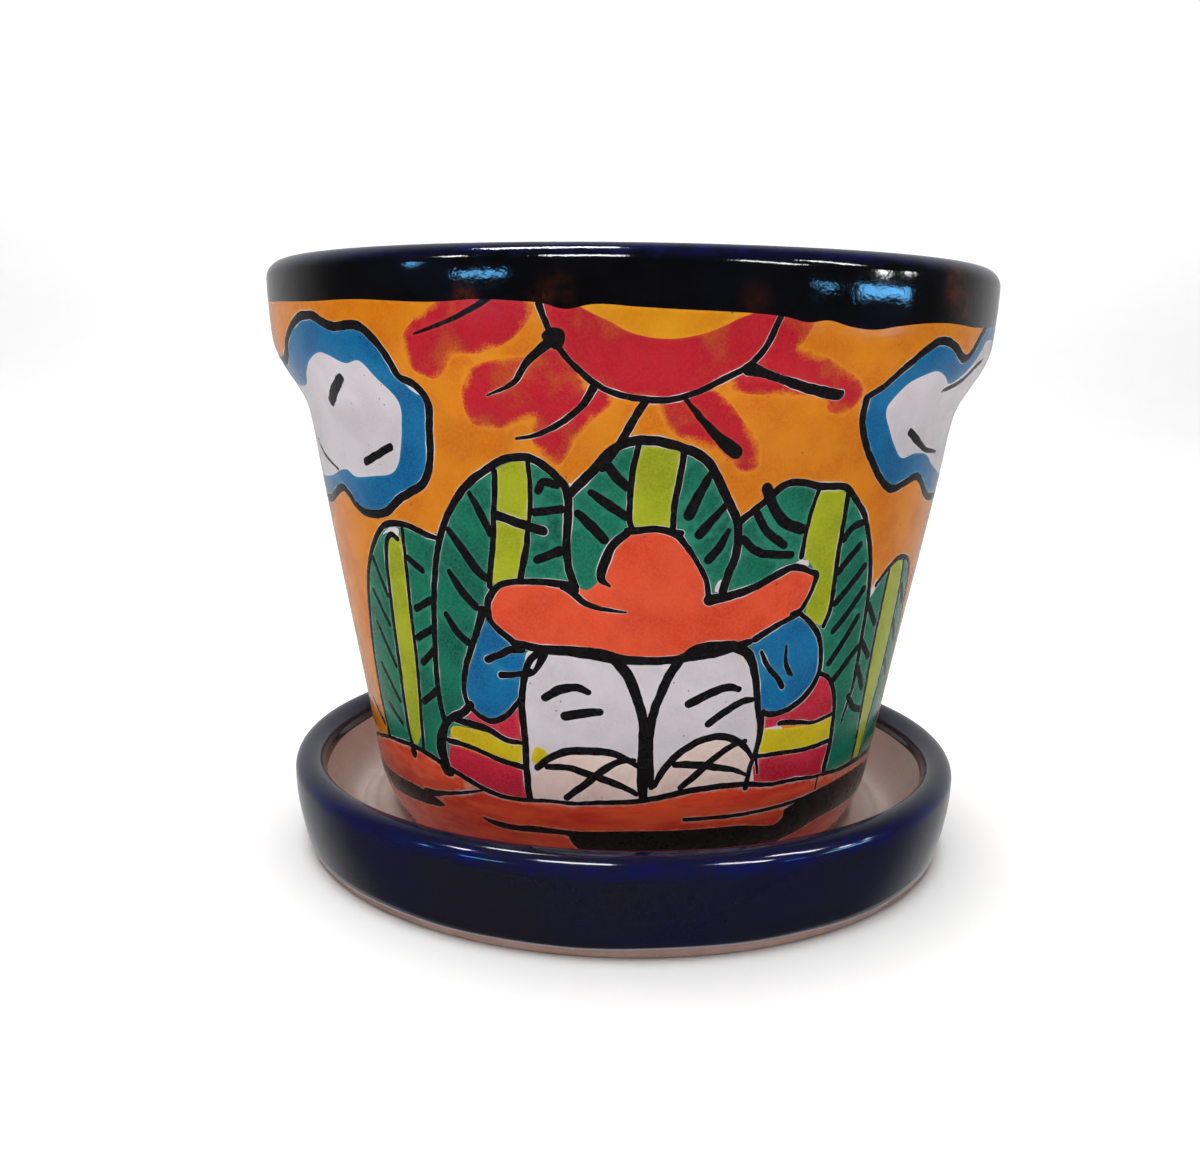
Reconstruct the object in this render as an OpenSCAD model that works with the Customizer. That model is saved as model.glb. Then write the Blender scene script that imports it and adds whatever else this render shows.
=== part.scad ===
// Flowerpot with its own saucer: a tapered earthenware pot with a thick collar,
// and a shallow dish that it stands in. Both are fired clay under thin glaze.
// The origin is at the middle of the saucer's underside, and +Z is up.

/* [Pot] */
// Outer diameter across the lip
lip_d = 165; // [155:1:175]
// Height of the pot alone, from its underside to the lip
pot_h = 126; // [110:1:140]
// Thickness of the fired clay wall
clay_wall = 6.5; // [5:0.5:8]
// Thickness of the pot's floor
pot_floor = 8; // [6:0.5:12]
// Outer diameter that the straight taper has at the underside
taper_low_d = 115; // [105:1:120]
// Outer diameter that the straight taper has at the middle of the shoulder
taper_high_d = 151; // [145:1:154]
// Outer diameter that the collar has at the middle of the shoulder
collar_d = 161.5; // [158:0.5:164]
// How far the middle of the shoulder lies below the lip
shoulder_drop = 24; // [20:1:30]
// Height over which the shoulder steps out to the collar
shoulder_h = 16; // [8:1:24]
// How far the foot's edge is tucked in at the underside
foot_tuck = 3; // [1:0.5:5]
// Height over which the foot's edge is tucked in
foot_round = 12; // [6:1:16]
// Radius of the hollow corner between the pot's inner wall and its floor
corner_round = 8; // [4:1:12]
// Diameter of the drain hole in the floor
drain_d = 14; // [8:1:20]

/* [Saucer] */
// Outer diameter at the saucer's rim
saucer_d = 158; // [154:1:164]
// Outer diameter at the saucer's underside
saucer_low_d = 152; // [146:1:156]
// Height of the saucer
saucer_h = 21.5; // [19:0.5:24]
// Thickness of the saucer's rim, with its glaze
saucer_rim = 6.5; // [5:0.5:8]
// Height of the saucer's inner floor, with its glaze
rest_h = 7; // [6:0.5:8]
// Outer diameter of the flat inner floor
floor_d = 128; // [122:1:134]

/* [Glaze] */
// Thickness of every glaze coat
glaze = 0.5; // [0.4:0.1:0.7]
// Height of the cobalt band on the outside of the pot
band_h = 12.5; // [8:0.5:15]
// Height of the cobalt band on the inside of the pot
inner_band_h = 12; // [8:0.5:15]
// Height of the painted ground above the foot
ground_h = 19; // [15:1:24]
// Height of the bare clay strip at the foot of the pot
pot_bare_h = 1; // [1:0.5:2]
// Height of the bare clay strip at the foot of the saucer
saucer_bare_h = 2; // [1:0.5:3]
// How far below the rim's top the cobalt ends on the inside of the saucer
saucer_band_h = 4.5; // [4:0.5:9]

/* [Hidden] */
$fn = 180;

wall = clay_wall + glaze;            // wall with its outer coat
lip_round = wall / 2;                // the lip is a half circle across the wall
lip_h = pot_h - lip_round;           // height of that half circle's centre
shoulder_mid = pot_h - shoulder_drop;
shoulder_low = shoulder_mid - shoulder_h / 2;
shoulder_high = shoulder_mid + shoulder_h / 2;
hole_clear = 1;                      // how far a cutter runs past each face
saucer_round = saucer_rim / 2;       // the saucer's rim is a half circle too

// Soft step from 0 to 1
function smooth(t) = let (c = min(max(t, 0), 1)) c * c * (3 - 2 * c);
function mix(a, b, t) = a + (b - a) * t;

// Outer radius of the glazed pot at height h above its underside
function taper_r(h) = mix(taper_low_d, taper_high_d, h / shoulder_mid) / 2;
function collar_r(h) = mix(collar_d, lip_d, (h - shoulder_mid) / (lip_h - shoulder_mid)) / 2;
function tuck(h) = foot_tuck * pow(max(0, 1 - h / foot_round), 2);
function pot_r(h) =
    mix(taper_r(h), collar_r(h), smooth((h - shoulder_low) / shoulder_h)) - tuck(h);

// n + 1 values, evenly spaced
function curve_steps(from, to, n) = [for (i = [0:n]) mix(from, to, i / n)];
// Heights at which the pot's outline has a corner
function pot_steps() = concat(curve_steps(0, foot_round, 8),
                              curve_steps(shoulder_low, shoulder_high, 12), [lip_h]);
function steps_between(lo, hi) =
    concat([lo], [for (h = pot_steps()) if (h > lo && h < hi) h], [hi]);

// Inner radius of the pot at height h, with the hollow corner above the floor
corner_h = pot_floor + corner_round;
function corner_in(h) =
    corner_round * (1 - sqrt(1 - pow(max(0, (corner_h - h) / corner_round), 2)));
function inner_side(lo) =
    concat([for (h = curve_steps(pot_floor, corner_h, 6)) [pot_r(h) - wall - corner_in(h), h]],
           [for (h = steps_between(corner_h, lo)) if (h > corner_h) [pot_r(h) - wall, h]]);

// Side of the pot from height lo to hi, moved in by inset
function side(lo, hi, inset) = [for (h = steps_between(lo, hi)) [pot_r(h) - inset, h]];

// Half circle over the lip, from the outside to the inside
function lip_arc(radius) =
    [for (a = [0:12:180]) [pot_r(lip_h) - lip_round + radius * cos(a), lip_h + radius * sin(a)]];

function reversed(list) = [for (i = [len(list) - 1:-1:0]) list[i]];
function without_first(list) = [for (i = [1:len(list) - 1]) list[i]];

// Outer radius of the glazed saucer at height h
saucer_lip_h = saucer_h - saucer_round;
function saucer_r(h) = mix(saucer_low_d, saucer_d, sin(90 * h / saucer_lip_h)) / 2;
function saucer_steps(lo, hi, inset) =
    [for (h = curve_steps(lo, hi, 6)) [saucer_r(h) - inset, h]];
function saucer_arc(radius) =
    [for (a = [0:15:180])
        [saucer_d / 2 - saucer_round + radius * cos(a), saucer_lip_h + radius * sin(a)]];

// Inner side of the glazed saucer: a hollow curve from the rim to the flat floor
function saucer_in_r(t) = mix(saucer_d / 2 - saucer_rim, floor_d / 2, t);
function saucer_in_h(t) = mix(saucer_lip_h, rest_h, sin(90 * t));
function saucer_inside(t0, t1, out) =
    [for (t = curve_steps(t0, t1, 8))
        [saucer_in_r(t) + out * cos(90 * t), saucer_in_h(t) - out * sin(90 * t)]];
// Place along that curve at which the cobalt band ends
band_end = asin((saucer_band_h - saucer_round) / (saucer_lip_h - rest_h)) / 90;

// A solid of revolution that stands where the pot stands
module pot_turned(outline) {
    translate([0, 0, rest_h]) rotate_extrude() polygon(outline);
}

module pot_body() {
    color([0.79, 0.62, 0.53])
    difference() {
        pot_turned(concat(
            [[0, 0]],
            side(0, pot_bare_h, 0),
            side(pot_bare_h, lip_h, glaze),
            [for (p = lip_arc(lip_round - glaze)) if (p[1] > lip_h + 0.01) p],
            reversed(side(lip_h - inner_band_h, lip_h, wall - glaze)),
            reversed(inner_side(lip_h - inner_band_h)),
            [[0, pot_floor]]));
        translate([0, 0, rest_h - hole_clear])
            cylinder(d = drain_d, h = pot_floor + 2 * hole_clear);
    }
}

module pot_rim_glaze() {
    color([0.05, 0.08, 0.30])
    pot_turned(concat(
        side(pot_h - band_h, lip_h, 0),
        [for (p = lip_arc(lip_round)) if (p[1] > lip_h + 0.01) p],
        reversed(side(lip_h - inner_band_h, lip_h, wall)),
        side(lip_h - inner_band_h, lip_h, wall - glaze),
        [for (p = reversed(lip_arc(lip_round - glaze))) if (p[1] > lip_h + 0.01) p],
        reversed(side(pot_h - band_h, lip_h, glaze))));
}

// A coat on the outside of the pot, from height lo to hi
module pot_coat(lo, hi) {
    pot_turned(concat(side(lo, hi, 0), reversed(side(lo, hi, glaze))));
}

module pot_wall_glaze() {
    color([0.91, 0.56, 0.11]) pot_coat(ground_h, pot_h - band_h);
}

module pot_ground_glaze() {
    color([0.70, 0.28, 0.16]) pot_coat(pot_bare_h, ground_h);
}

module saucer_body() {
    color([0.79, 0.62, 0.53])
    rotate_extrude() polygon(concat(
        [[0, 0]],
        saucer_steps(0, saucer_bare_h, 0),
        saucer_steps(saucer_bare_h, saucer_lip_h, glaze),
        [for (p = saucer_arc(saucer_round - glaze)) if (p[1] > saucer_lip_h + 0.01) p],
        saucer_inside(0, band_end, glaze),
        without_first(saucer_inside(band_end, 1, glaze)),
        [[0, rest_h - glaze]]));
}

module saucer_rim_glaze() {
    color([0.05, 0.08, 0.30])
    rotate_extrude() polygon(concat(
        saucer_steps(saucer_bare_h, saucer_lip_h, 0),
        [for (p = saucer_arc(saucer_round)) if (p[1] > saucer_lip_h + 0.01) p],
        saucer_inside(0, band_end, 0),
        reversed(saucer_inside(0, band_end, glaze)),
        [for (p = reversed(saucer_arc(saucer_round - glaze))) if (p[1] > saucer_lip_h + 0.01) p],
        reversed(saucer_steps(saucer_bare_h, saucer_lip_h, glaze))));
}

module saucer_floor_glaze() {
    color([0.86, 0.80, 0.78])
    rotate_extrude() polygon(concat(
        saucer_inside(band_end, 1, 0),
        [[0, rest_h], [0, rest_h - glaze]],
        reversed(saucer_inside(band_end, 1, glaze))));
}

pot_body();
pot_rim_glaze();
pot_wall_glaze();
pot_ground_glaze();
saucer_body();
saucer_rim_glaze();
saucer_floor_glaze();
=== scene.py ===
"""A glazed earthenware flowerpot on its saucer, painted by hand.

The pot's paint is drawn on its unrolled skin: each outline is a list of (angle, height) points,
in degrees from the front (to the right is positive) and millimetres above the table. All the
outlines are cut into one mesh, which is wrapped round the pot and split into a coat per colour.
"""

import math

import bpy
import numpy as np
from mathutils import Matrix, Vector, noise
from mathutils.geometry import delaunay_2d_cdt
from mathutils.kdtree import KDTree


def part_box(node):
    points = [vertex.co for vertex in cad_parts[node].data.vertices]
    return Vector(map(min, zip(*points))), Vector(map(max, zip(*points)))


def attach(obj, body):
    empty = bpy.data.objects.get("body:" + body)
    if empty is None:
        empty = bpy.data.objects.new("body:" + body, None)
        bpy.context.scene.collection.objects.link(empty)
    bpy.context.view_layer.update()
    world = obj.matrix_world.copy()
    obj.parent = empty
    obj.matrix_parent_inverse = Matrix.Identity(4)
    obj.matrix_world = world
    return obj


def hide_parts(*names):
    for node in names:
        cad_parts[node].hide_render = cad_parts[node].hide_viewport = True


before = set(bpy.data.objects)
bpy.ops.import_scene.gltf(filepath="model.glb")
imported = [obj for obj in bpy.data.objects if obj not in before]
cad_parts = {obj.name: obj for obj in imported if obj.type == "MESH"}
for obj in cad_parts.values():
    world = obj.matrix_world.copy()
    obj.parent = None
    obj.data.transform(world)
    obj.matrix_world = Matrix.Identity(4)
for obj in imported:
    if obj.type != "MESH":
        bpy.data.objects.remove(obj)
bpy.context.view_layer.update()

MM = 0.001                      # the pieces are worked out in millimetres and made in metres


# ---- The shape, measured on the frame -------------------------------------------------------

def rings(name, pick, least=0):
    """Heights and radii of the rings that a turned CAD node's mesh is made of, leaving out the
    ones under the least radius."""
    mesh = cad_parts[name].data
    points = np.array([v.co for v in mesh.vertices]) / MM
    radius = np.hypot(points[:, 0], points[:, 1])
    points, radius = points[radius >= least], radius[radius >= least]
    height = np.round(points[:, 2], 2)
    levels = np.unique(height)
    return levels, np.array([pick(radius[height == level]) for level in levels])


def smooth_line(x, y):
    """A smooth function through the points (x, y), which is level beyond its ends."""
    slope = np.gradient(y, x)

    def value(q):
        q = np.clip(q, x[0], x[-1])
        i = np.clip(np.searchsorted(x, q) - 1, 0, len(x) - 2)
        span = x[i + 1] - x[i]
        t = (q - x[i]) / span
        rise = y[i + 1] - y[i]
        bend = (slope[i] * span - rise) * (1 - t) + (rise - slope[i + 1] * span) * t
        return y[i] + rise * t + t * (1 - t) * bend
    return value


def side_line(outline, lip_z):
    """The radius as a smooth function of the height, through the rings as far as the lip."""
    below = outline[0] <= lip_z + 0.05
    return smooth_line(outline[0][below], outline[1][below])


def merged(*outlines):
    """One set of rings from several that follow each other upwards."""
    height = np.concatenate([o[0] for o in outlines])
    radius = np.concatenate([o[1] for o in outlines])
    levels, first = np.unique(height, return_index=True)
    return levels, radius[first]


POT_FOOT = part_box("pot_body")[0].z / MM
POT_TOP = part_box("pot_rim_glaze")[1].z / MM
BAND_INSIDE = rings("pot_rim_glaze", np.min)
WALL_RINGS = rings("pot_wall_glaze", np.max)
POT_RINGS = merged(rings("pot_ground_glaze", np.max), WALL_RINGS,
                   rings("pot_rim_glaze", np.max, least=max(WALL_RINGS[1]) - 1))
WALL = np.interp(BAND_INSIDE[0][0], *POT_RINGS) - BAND_INSIDE[1][0]
LIP_ROUND = WALL / 2                       # the lip is a half circle across the wall
LIP_Z = POT_TOP - LIP_ROUND
POT_R = side_line(POT_RINGS, LIP_Z)
LIP_ARC = math.pi * LIP_ROUND
BAND_END = LIP_Z + LIP_ARC + LIP_Z - BAND_INSIDE[0][0]   # path height where the inner band ends
GROUND_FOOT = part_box("pot_ground_glaze")[0].z / MM
ROLL_IN = 0.3                   # how far the lip is rolled in,
ROLL_HEIGHT = 7                 # over this much of the collar
# Waves round the axis: size, number of them, phase, lean with the height
SIDE_WAVES = ((0.22, 2, 0.7, 0), (0.12, 3, 0, 0.04), (0.07, 5, 0, -0.07), (0.05, 9, 0, 0.11))
RIM_WAVES = ((0.25, 2, 0.4, 0), (0.12, 3, 2, 0))
EDGE_WAVES = ((1, 3, 1, 0), (0.6, 7, 0, 0), (0.4, 16, 0, 0))


def waves(table, a, z=0):
    """The sum of a table's waves at an angle in degrees, and a height."""
    turn = np.radians(a)
    return sum(size * np.sin(count * turn + phase + lean * z)
               for size, count, phase, lean in table)


def path(v):
    """Radius and height of the pot's glazed side at path height v: the height itself as far as
    the lip, and from there the way over the lip and down the inside."""
    over = np.clip((v - LIP_Z) / LIP_ROUND, 0, math.pi)
    inside = np.maximum(v - LIP_Z - LIP_ARC, 0)
    z = np.minimum(v, LIP_Z) + LIP_ROUND * np.sin(over) - inside
    r = POT_R(np.minimum(v, LIP_Z - inside)) - LIP_ROUND * (1 - np.cos(over))
    return r, z


def out_of_round(a, z):
    """How far a hand-thrown side lies outside its true circle, with the collar rolled in a little
    towards the lip."""
    roll = ROLL_IN * np.clip((z - LIP_Z + ROLL_HEIGHT) / ROLL_HEIGHT, 0, None) ** 2
    return waves(SIDE_WAVES, a, z) - roll


def on_skin(a, v):
    """Points of the pot's glazed side, in millimetres."""
    r, z = path(v)
    r = r + out_of_round(a, z)
    turn = np.radians(a)
    return np.stack([r * np.sin(turn), -r * np.cos(turn), z], -1)


def skin_axes(a, v):
    """Unit vectors to the right, up and outwards at points of the skin."""
    small = 0.05
    right = on_skin(a + small, v) - on_skin(a - small, v)
    up = on_skin(a, v + small) - on_skin(a, v - small)
    out = np.cross(right, up)
    return [x / np.linalg.norm(x, axis=-1, keepdims=True) for x in (right, up, out)]


def degree(v):
    """Width of one degree of the skin, in millimetres."""
    return path(v)[0] * math.pi / 180


# ---- Drawing on the unrolled skin -----------------------------------------------------------

FIELD, FILL, GROUND, HALO, INK, BAND = range(6)    # what lies on what
SEAM = 110                                     # angle at which the unrolled skin ends
START = SEAM - 360
PAST_SEAM = 6                                  # how far the lines that go all round run past it
STEP = 0.75                                    # spacing of the points along an outline
LEAST_HALF = 0.12                              # half the width of the thinnest stroke
RAGGED = 0.09                                  # unevenness of a stroke's two sides
HALO_GAP = 0.05                                # usual width of the white beside an ink line,
HALO_SWING = 0.13                              # how much it changes,
HALO_LEAST, HALO_MOST = 0.015, 0.22            # and its limits


def with_widths(points, width):
    """Points with a width each: a point without one takes the width of the point before it."""
    rows = []
    for point in points:
        width = point[2] if len(point) > 2 else width
        rows.append((point[0], point[1], width))
    return np.array(rows, float)


def curve(rows, closed=False):
    """Points about STEP apart on a smooth line through the rows."""
    if closed:
        ends = np.vstack([rows[-1:], rows, rows[:2]])
    else:
        ends = np.vstack([2 * rows[:1] - rows[1:2], rows, 2 * rows[-1:] - rows[-2:-1]])
    drawn = []
    for p0, p1, p2, p3 in zip(ends, ends[1:], ends[2:], ends[3:]):
        length = math.hypot((p2[0] - p1[0]) * degree(p1[1]), p2[1] - p1[1])
        count = max(1, math.ceil(length / STEP))
        t = (np.arange(count) / count)[:, None]
        drawn.append(p1 + t * (p2 - p0) / 2 + t ** 2 * (p0 - 2.5 * p1 + 2 * p2 - p3 / 2)
                     + t ** 3 * (1.5 * p1 - p0 / 2 - 1.5 * p2 + p3 / 2))
    if not closed:
        drawn.append(rows[-1:])
    return np.vstack(drawn)


def unsteady(a, z, size, seed):
    """Noise from about -1 to 1 at points of the skin, with bumps of the given size."""
    spots = on_skin(a, z) / size + seed
    return np.array([noise.noise(Vector(p)) for p in spots]) * 1.6


def stroke(line, extra=0):
    """Outline of a brush stroke along the line, wider by extra on each side."""
    a, z, width = line.T
    wide = degree(z)
    along = np.stack([np.gradient(a) * wide, np.gradient(z)], 1)
    along /= np.linalg.norm(along, axis=1, keepdims=True) + 1e-9
    across = np.stack([-along[:, 1], along[:, 0]], 1)
    half = np.maximum(width / 2, LEAST_HALF) + extra
    left = half + RAGGED * unsteady(a, z, 1.5, 3) * np.minimum(width, 1)
    right = half + RAGGED * unsteady(a, z, 1.5, 9) * np.minimum(width, 1)
    scale = np.stack([wide, np.ones_like(wide)], 1)
    middle = np.stack([a, z], 1)

    def cap(end, forward):
        turns = np.radians([60, 30, 0, -30, -60])[:, None]
        ahead = along[end] * forward
        side = across[end] * forward
        return middle[end] + half[end] * (np.cos(turns) * ahead + np.sin(turns) * side) / scale[end]

    return np.vstack([middle + across * left[:, None] / scale, cap(-1, 1),
                      (middle - across * right[:, None] / scale)[::-1], cap(0, -1)])


class Drawing:
    """The outlines on the unrolled skin, with their ranks and paints, and points that the mesh
    also has to have."""

    def __init__(self):
        self.areas = []
        self.points = []

    def area(self, rank, paint, outline):
        """An outline as it is."""
        self.areas.append((rank, paint, outline))

    def field(self, paint, points, rank=FIELD):
        """A painted area with a smooth outline. Points that an ink line also has may keep their
        widths, which don't count here."""
        self.area(rank, paint, curve(np.array([p[:2] for p in points], float), closed=True))

    def halo(self, line):
        """The bare white glaze that shows beside an ink line, in places wider than in others."""
        a, z, _ = line.T
        gap = HALO_GAP + HALO_SWING * unsteady(a, z, 4, 20)
        self.area(HALO, "white", stroke(line, np.clip(gap, HALO_LEAST, HALO_MOST)))

    def ink(self, *strokes, width=1.4, halo=True):
        """Lines of ink, with bare white beside them."""
        for points in strokes:
            line = curve(with_widths(points, width))
            self.area(INK, "ink", stroke(line))
            self.points.append(line[:, :2])
            if halo:
                self.halo(line)

    def brush(self, *strokes, width=1.6):
        """Lines of ink that lie on wet paint, so that nothing white shows beside them."""
        self.ink(*strokes, width=width, halo=False)

    def blot(self, points):
        """A filled area of ink."""
        self.area(INK, "ink", curve(np.array(points, float), closed=True))


# ---- The sun --------------------------------------------------------------------------------

SUN_RIM = [
    (-12.3, 122.5), (-11, 118), (-9.8, 115), (-8, 112), (-5.5, 109), (-2.5, 107.2), (2, 106.3),
    (5, 106.6), (8, 108), (11, 110.3), (13.5, 112.3), (15.5, 115.5), (17.3, 121)]
SUN_CORE = [(-7, 123.5), (-3, 119.2), (0, 117.4), (4, 116.9), (8, 118), (11.5, 120.2), (14, 123)]


def draw_sun(drawing):
    """The lower half of a sun that hangs from the band: a gold core, a crimson ring and rays."""
    drawing.field("crimson", SUN_RIM + [(14, 123)] + SUN_CORE[::-1])
    drawing.field("gold", SUN_CORE)
    rays = [
        [(-28, 121), (-24, 123.5), (-17, 124), (-13, 122.5), (-14.5, 118), (-17, 115.5),
         (-20, 114), (-24, 113.5), (-26, 110.5), (-28.3, 109.3), (-31, 111), (-31.5, 114),
         (-31, 117.5)],
        [(-14.5, 113.5), (-18, 113), (-22.3, 111), (-24.6, 106), (-24.2, 101.8), (-22, 100.5),
         (-18.5, 100.8), (-15, 102.3), (-12.5, 103.5), (-8, 106.5), (-7, 109), (-9, 112.7),
         (-10.5, 115)],
        [(-7, 108.4), (-10, 107), (-13.5, 104), (-15, 100), (-14, 96.6), (-11.5, 94.2),
         (-9.9, 95.8), (-8.6, 98.8), (-6, 102.6), (-3.5, 105.5), (-3.5, 107.4)],
        [(3, 106.4), (4.6, 101), (8.2, 98.4), (10.5, 97.3), (11.8, 97.4), (15.5, 93.4),
         (18, 94.6), (17.5, 98.8), (14.4, 103.3), (11, 107.5), (8.5, 108)],
        [(15, 113.5), (17, 123), (22, 121.5), (20.6, 116.7), (20, 115.6), (24, 114.3),
         (28.3, 111.8), (31.9, 109.2), (32.6, 106.3), (30.7, 103.8), (27.6, 104.6),
         (26.6, 106.7), (22, 107.1), (14, 107.7), (11.6, 109.2), (13, 111.5)],
    ]
    for ray in rays:
        drawing.field("crimson", ray)
    drawing.ink(SUN_RIM, width=1.2)
    drawing.blot([(-12, 117), (-10.8, 118.5), (-9.2, 118), (-9.2, 115.8), (-10.4, 114.8)])
    drawing.ink([(1, 106.2), (-1, 101.5), (-3, 97), (-4.8, 93.8)], width=1.5)
    drawing.ink(
        [(-10.5, 116.5, 2), (-12.5, 114.5, 1.6), (-14.5, 112, 1.2), (-16.5, 108.8, 0.9),
         (-20.7, 106.5, 0.4)],
        [(-5.8, 108.3, 1.6), (-7.5, 105, 1.2), (-10.5, 102), (-14, 99.7, 0.9), (-17.2, 98.8, 0.6)],
        [(14, 112, 2.6), (17, 110.9, 1.5), (22, 109, 1.8), (26, 107.9, 2), (28.6, 107.4, 2)])
    drawing.brush(
        [(-29.5, 117.2, 0.4), (-26, 118.7, 0.8), (-22, 120.8, 1), (-18, 124, 1.3)],
        [(6.2, 106.7, 0.8), (8.5, 103.5, 1.2), (11, 100.3, 1.8), (13.2, 98, 2.6), (14.3, 97, 2.6)])


# ---- The clouds -----------------------------------------------------------------------------

LEFT_CLOUD = [
    (-66, 112), (-63, 113.5), (-60, 116.5), (-57, 119), (-53.5, 120.6), (-50, 120.6), (-47, 119.3),
    (-44.5, 118.5), (-40, 118.8), (-37.5, 117.3), (-35.5, 114.8), (-34.5, 112), (-34, 109.5),
    (-32.2, 108.5), (-31, 106.8), (-30.7, 104.5), (-31.5, 100), (-32, 95), (-32.8, 91.5),
    (-34.5, 88.8), (-37.5, 87), (-40, 85.5), (-43, 83), (-46, 81.8), (-50, 81.6), (-53, 82.8),
    (-55.5, 85), (-57.5, 85.9), (-60, 85.2), (-64, 83.3), (-68, 82.2), (-74, 81.8), (-80, 82.5),
    (-85, 85), (-88, 90), (-90, 95), (-88, 101), (-84, 108), (-80, 111), (-75, 112.5), (-70, 111.6)]
LEFT_CLOUD_WHITE = [
    (-62, 107), (-58, 109.5), (-54, 112), (-50, 113.6), (-47.5, 113.2), (-44, 111.7),
    (-40.5, 112.2), (-38.5, 109), (-36.3, 105), (-37, 100), (-38, 95.5), (-39, 92.5), (-41, 90.5),
    (-45, 89.7), (-51, 88.9), (-54, 90), (-57, 89.6), (-62, 88), (-70, 87), (-78, 87), (-83, 91),
    (-84, 97), (-82, 103), (-76, 107), (-68, 106.5)]
RIGHT_CLOUD = [
    (33.8, 107), (36, 109), (38, 112), (41, 115.3), (44, 117.3), (46.5, 117.4), (49, 116.4),
    (51.5, 114.8), (53.5, 114.2), (55, 115.2), (57, 117.5), (59.5, 120), (61.5, 121.3), (65, 122),
    (70, 121.5), (75, 119.5), (80, 117), (84, 112.5), (87, 107), (88, 100), (86, 94), (82, 89),
    (76, 86), (70, 84.8), (64, 85), (60, 86.5), (57, 88.8), (54, 90.4), (51, 89.8), (47.5, 88.6),
    (45, 88.8), (42, 91), (39.5, 94), (37.5, 97), (35.5, 101), (34.5, 104.5)]
RIGHT_CLOUD_WHITE = [
    (39.3, 106), (41, 109.5), (44, 111.2), (46.5, 111.8), (49.5, 110.8), (53, 109.3), (57, 112),
    (60, 116), (63, 118), (70, 117.5), (76, 114), (81, 108), (83, 101), (81, 94), (76, 90.5),
    (70, 89.5), (64, 91), (60, 92.5), (56, 94.8), (51, 95.3), (47, 94.7), (44, 97.5), (41.5, 101),
    (39.5, 104)]


def draw_cloud(drawing, outline, white, width):
    """A white cloud with a blue border and an ink outline."""
    drawing.field("blue", outline)
    drawing.field("white", white, FILL)
    drawing.ink(outline + outline[:1], width=width)


def draw_clouds(drawing):
    """A cloud on each side, with a few short strokes in it."""
    draw_cloud(drawing, LEFT_CLOUD, LEFT_CLOUD_WHITE, 1.8)
    draw_cloud(drawing, RIGHT_CLOUD, RIGHT_CLOUD_WHITE, 1.7)
    drawing.field("white", [(-33.8, 108.9), (-32.4, 108.2), (-31.4, 106.2), (-32.6, 106.9)], FILL)
    drawing.brush(
        [(-54.5, 103.8, 2), (-51, 106.4), (-46.8, 109, 1.6)], [(-47.2, 92.3), (-40.2, 95.8)],
        [(-69, 95, 1), (-65, 92.3, 1), (-58, 89.7, 0.7)], width=1.7)
    drawing.brush(
        [(47.8, 99.8, 1.7), (51, 98), (55, 95.9, 1.2), (61, 95, 0.7)],
        [(52, 108, 0.9), (57, 109.8, 1.6), (60, 112.5, 1.5), (63, 114, 0.8)])


# ---- The cacti ------------------------------------------------------------------------------

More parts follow.
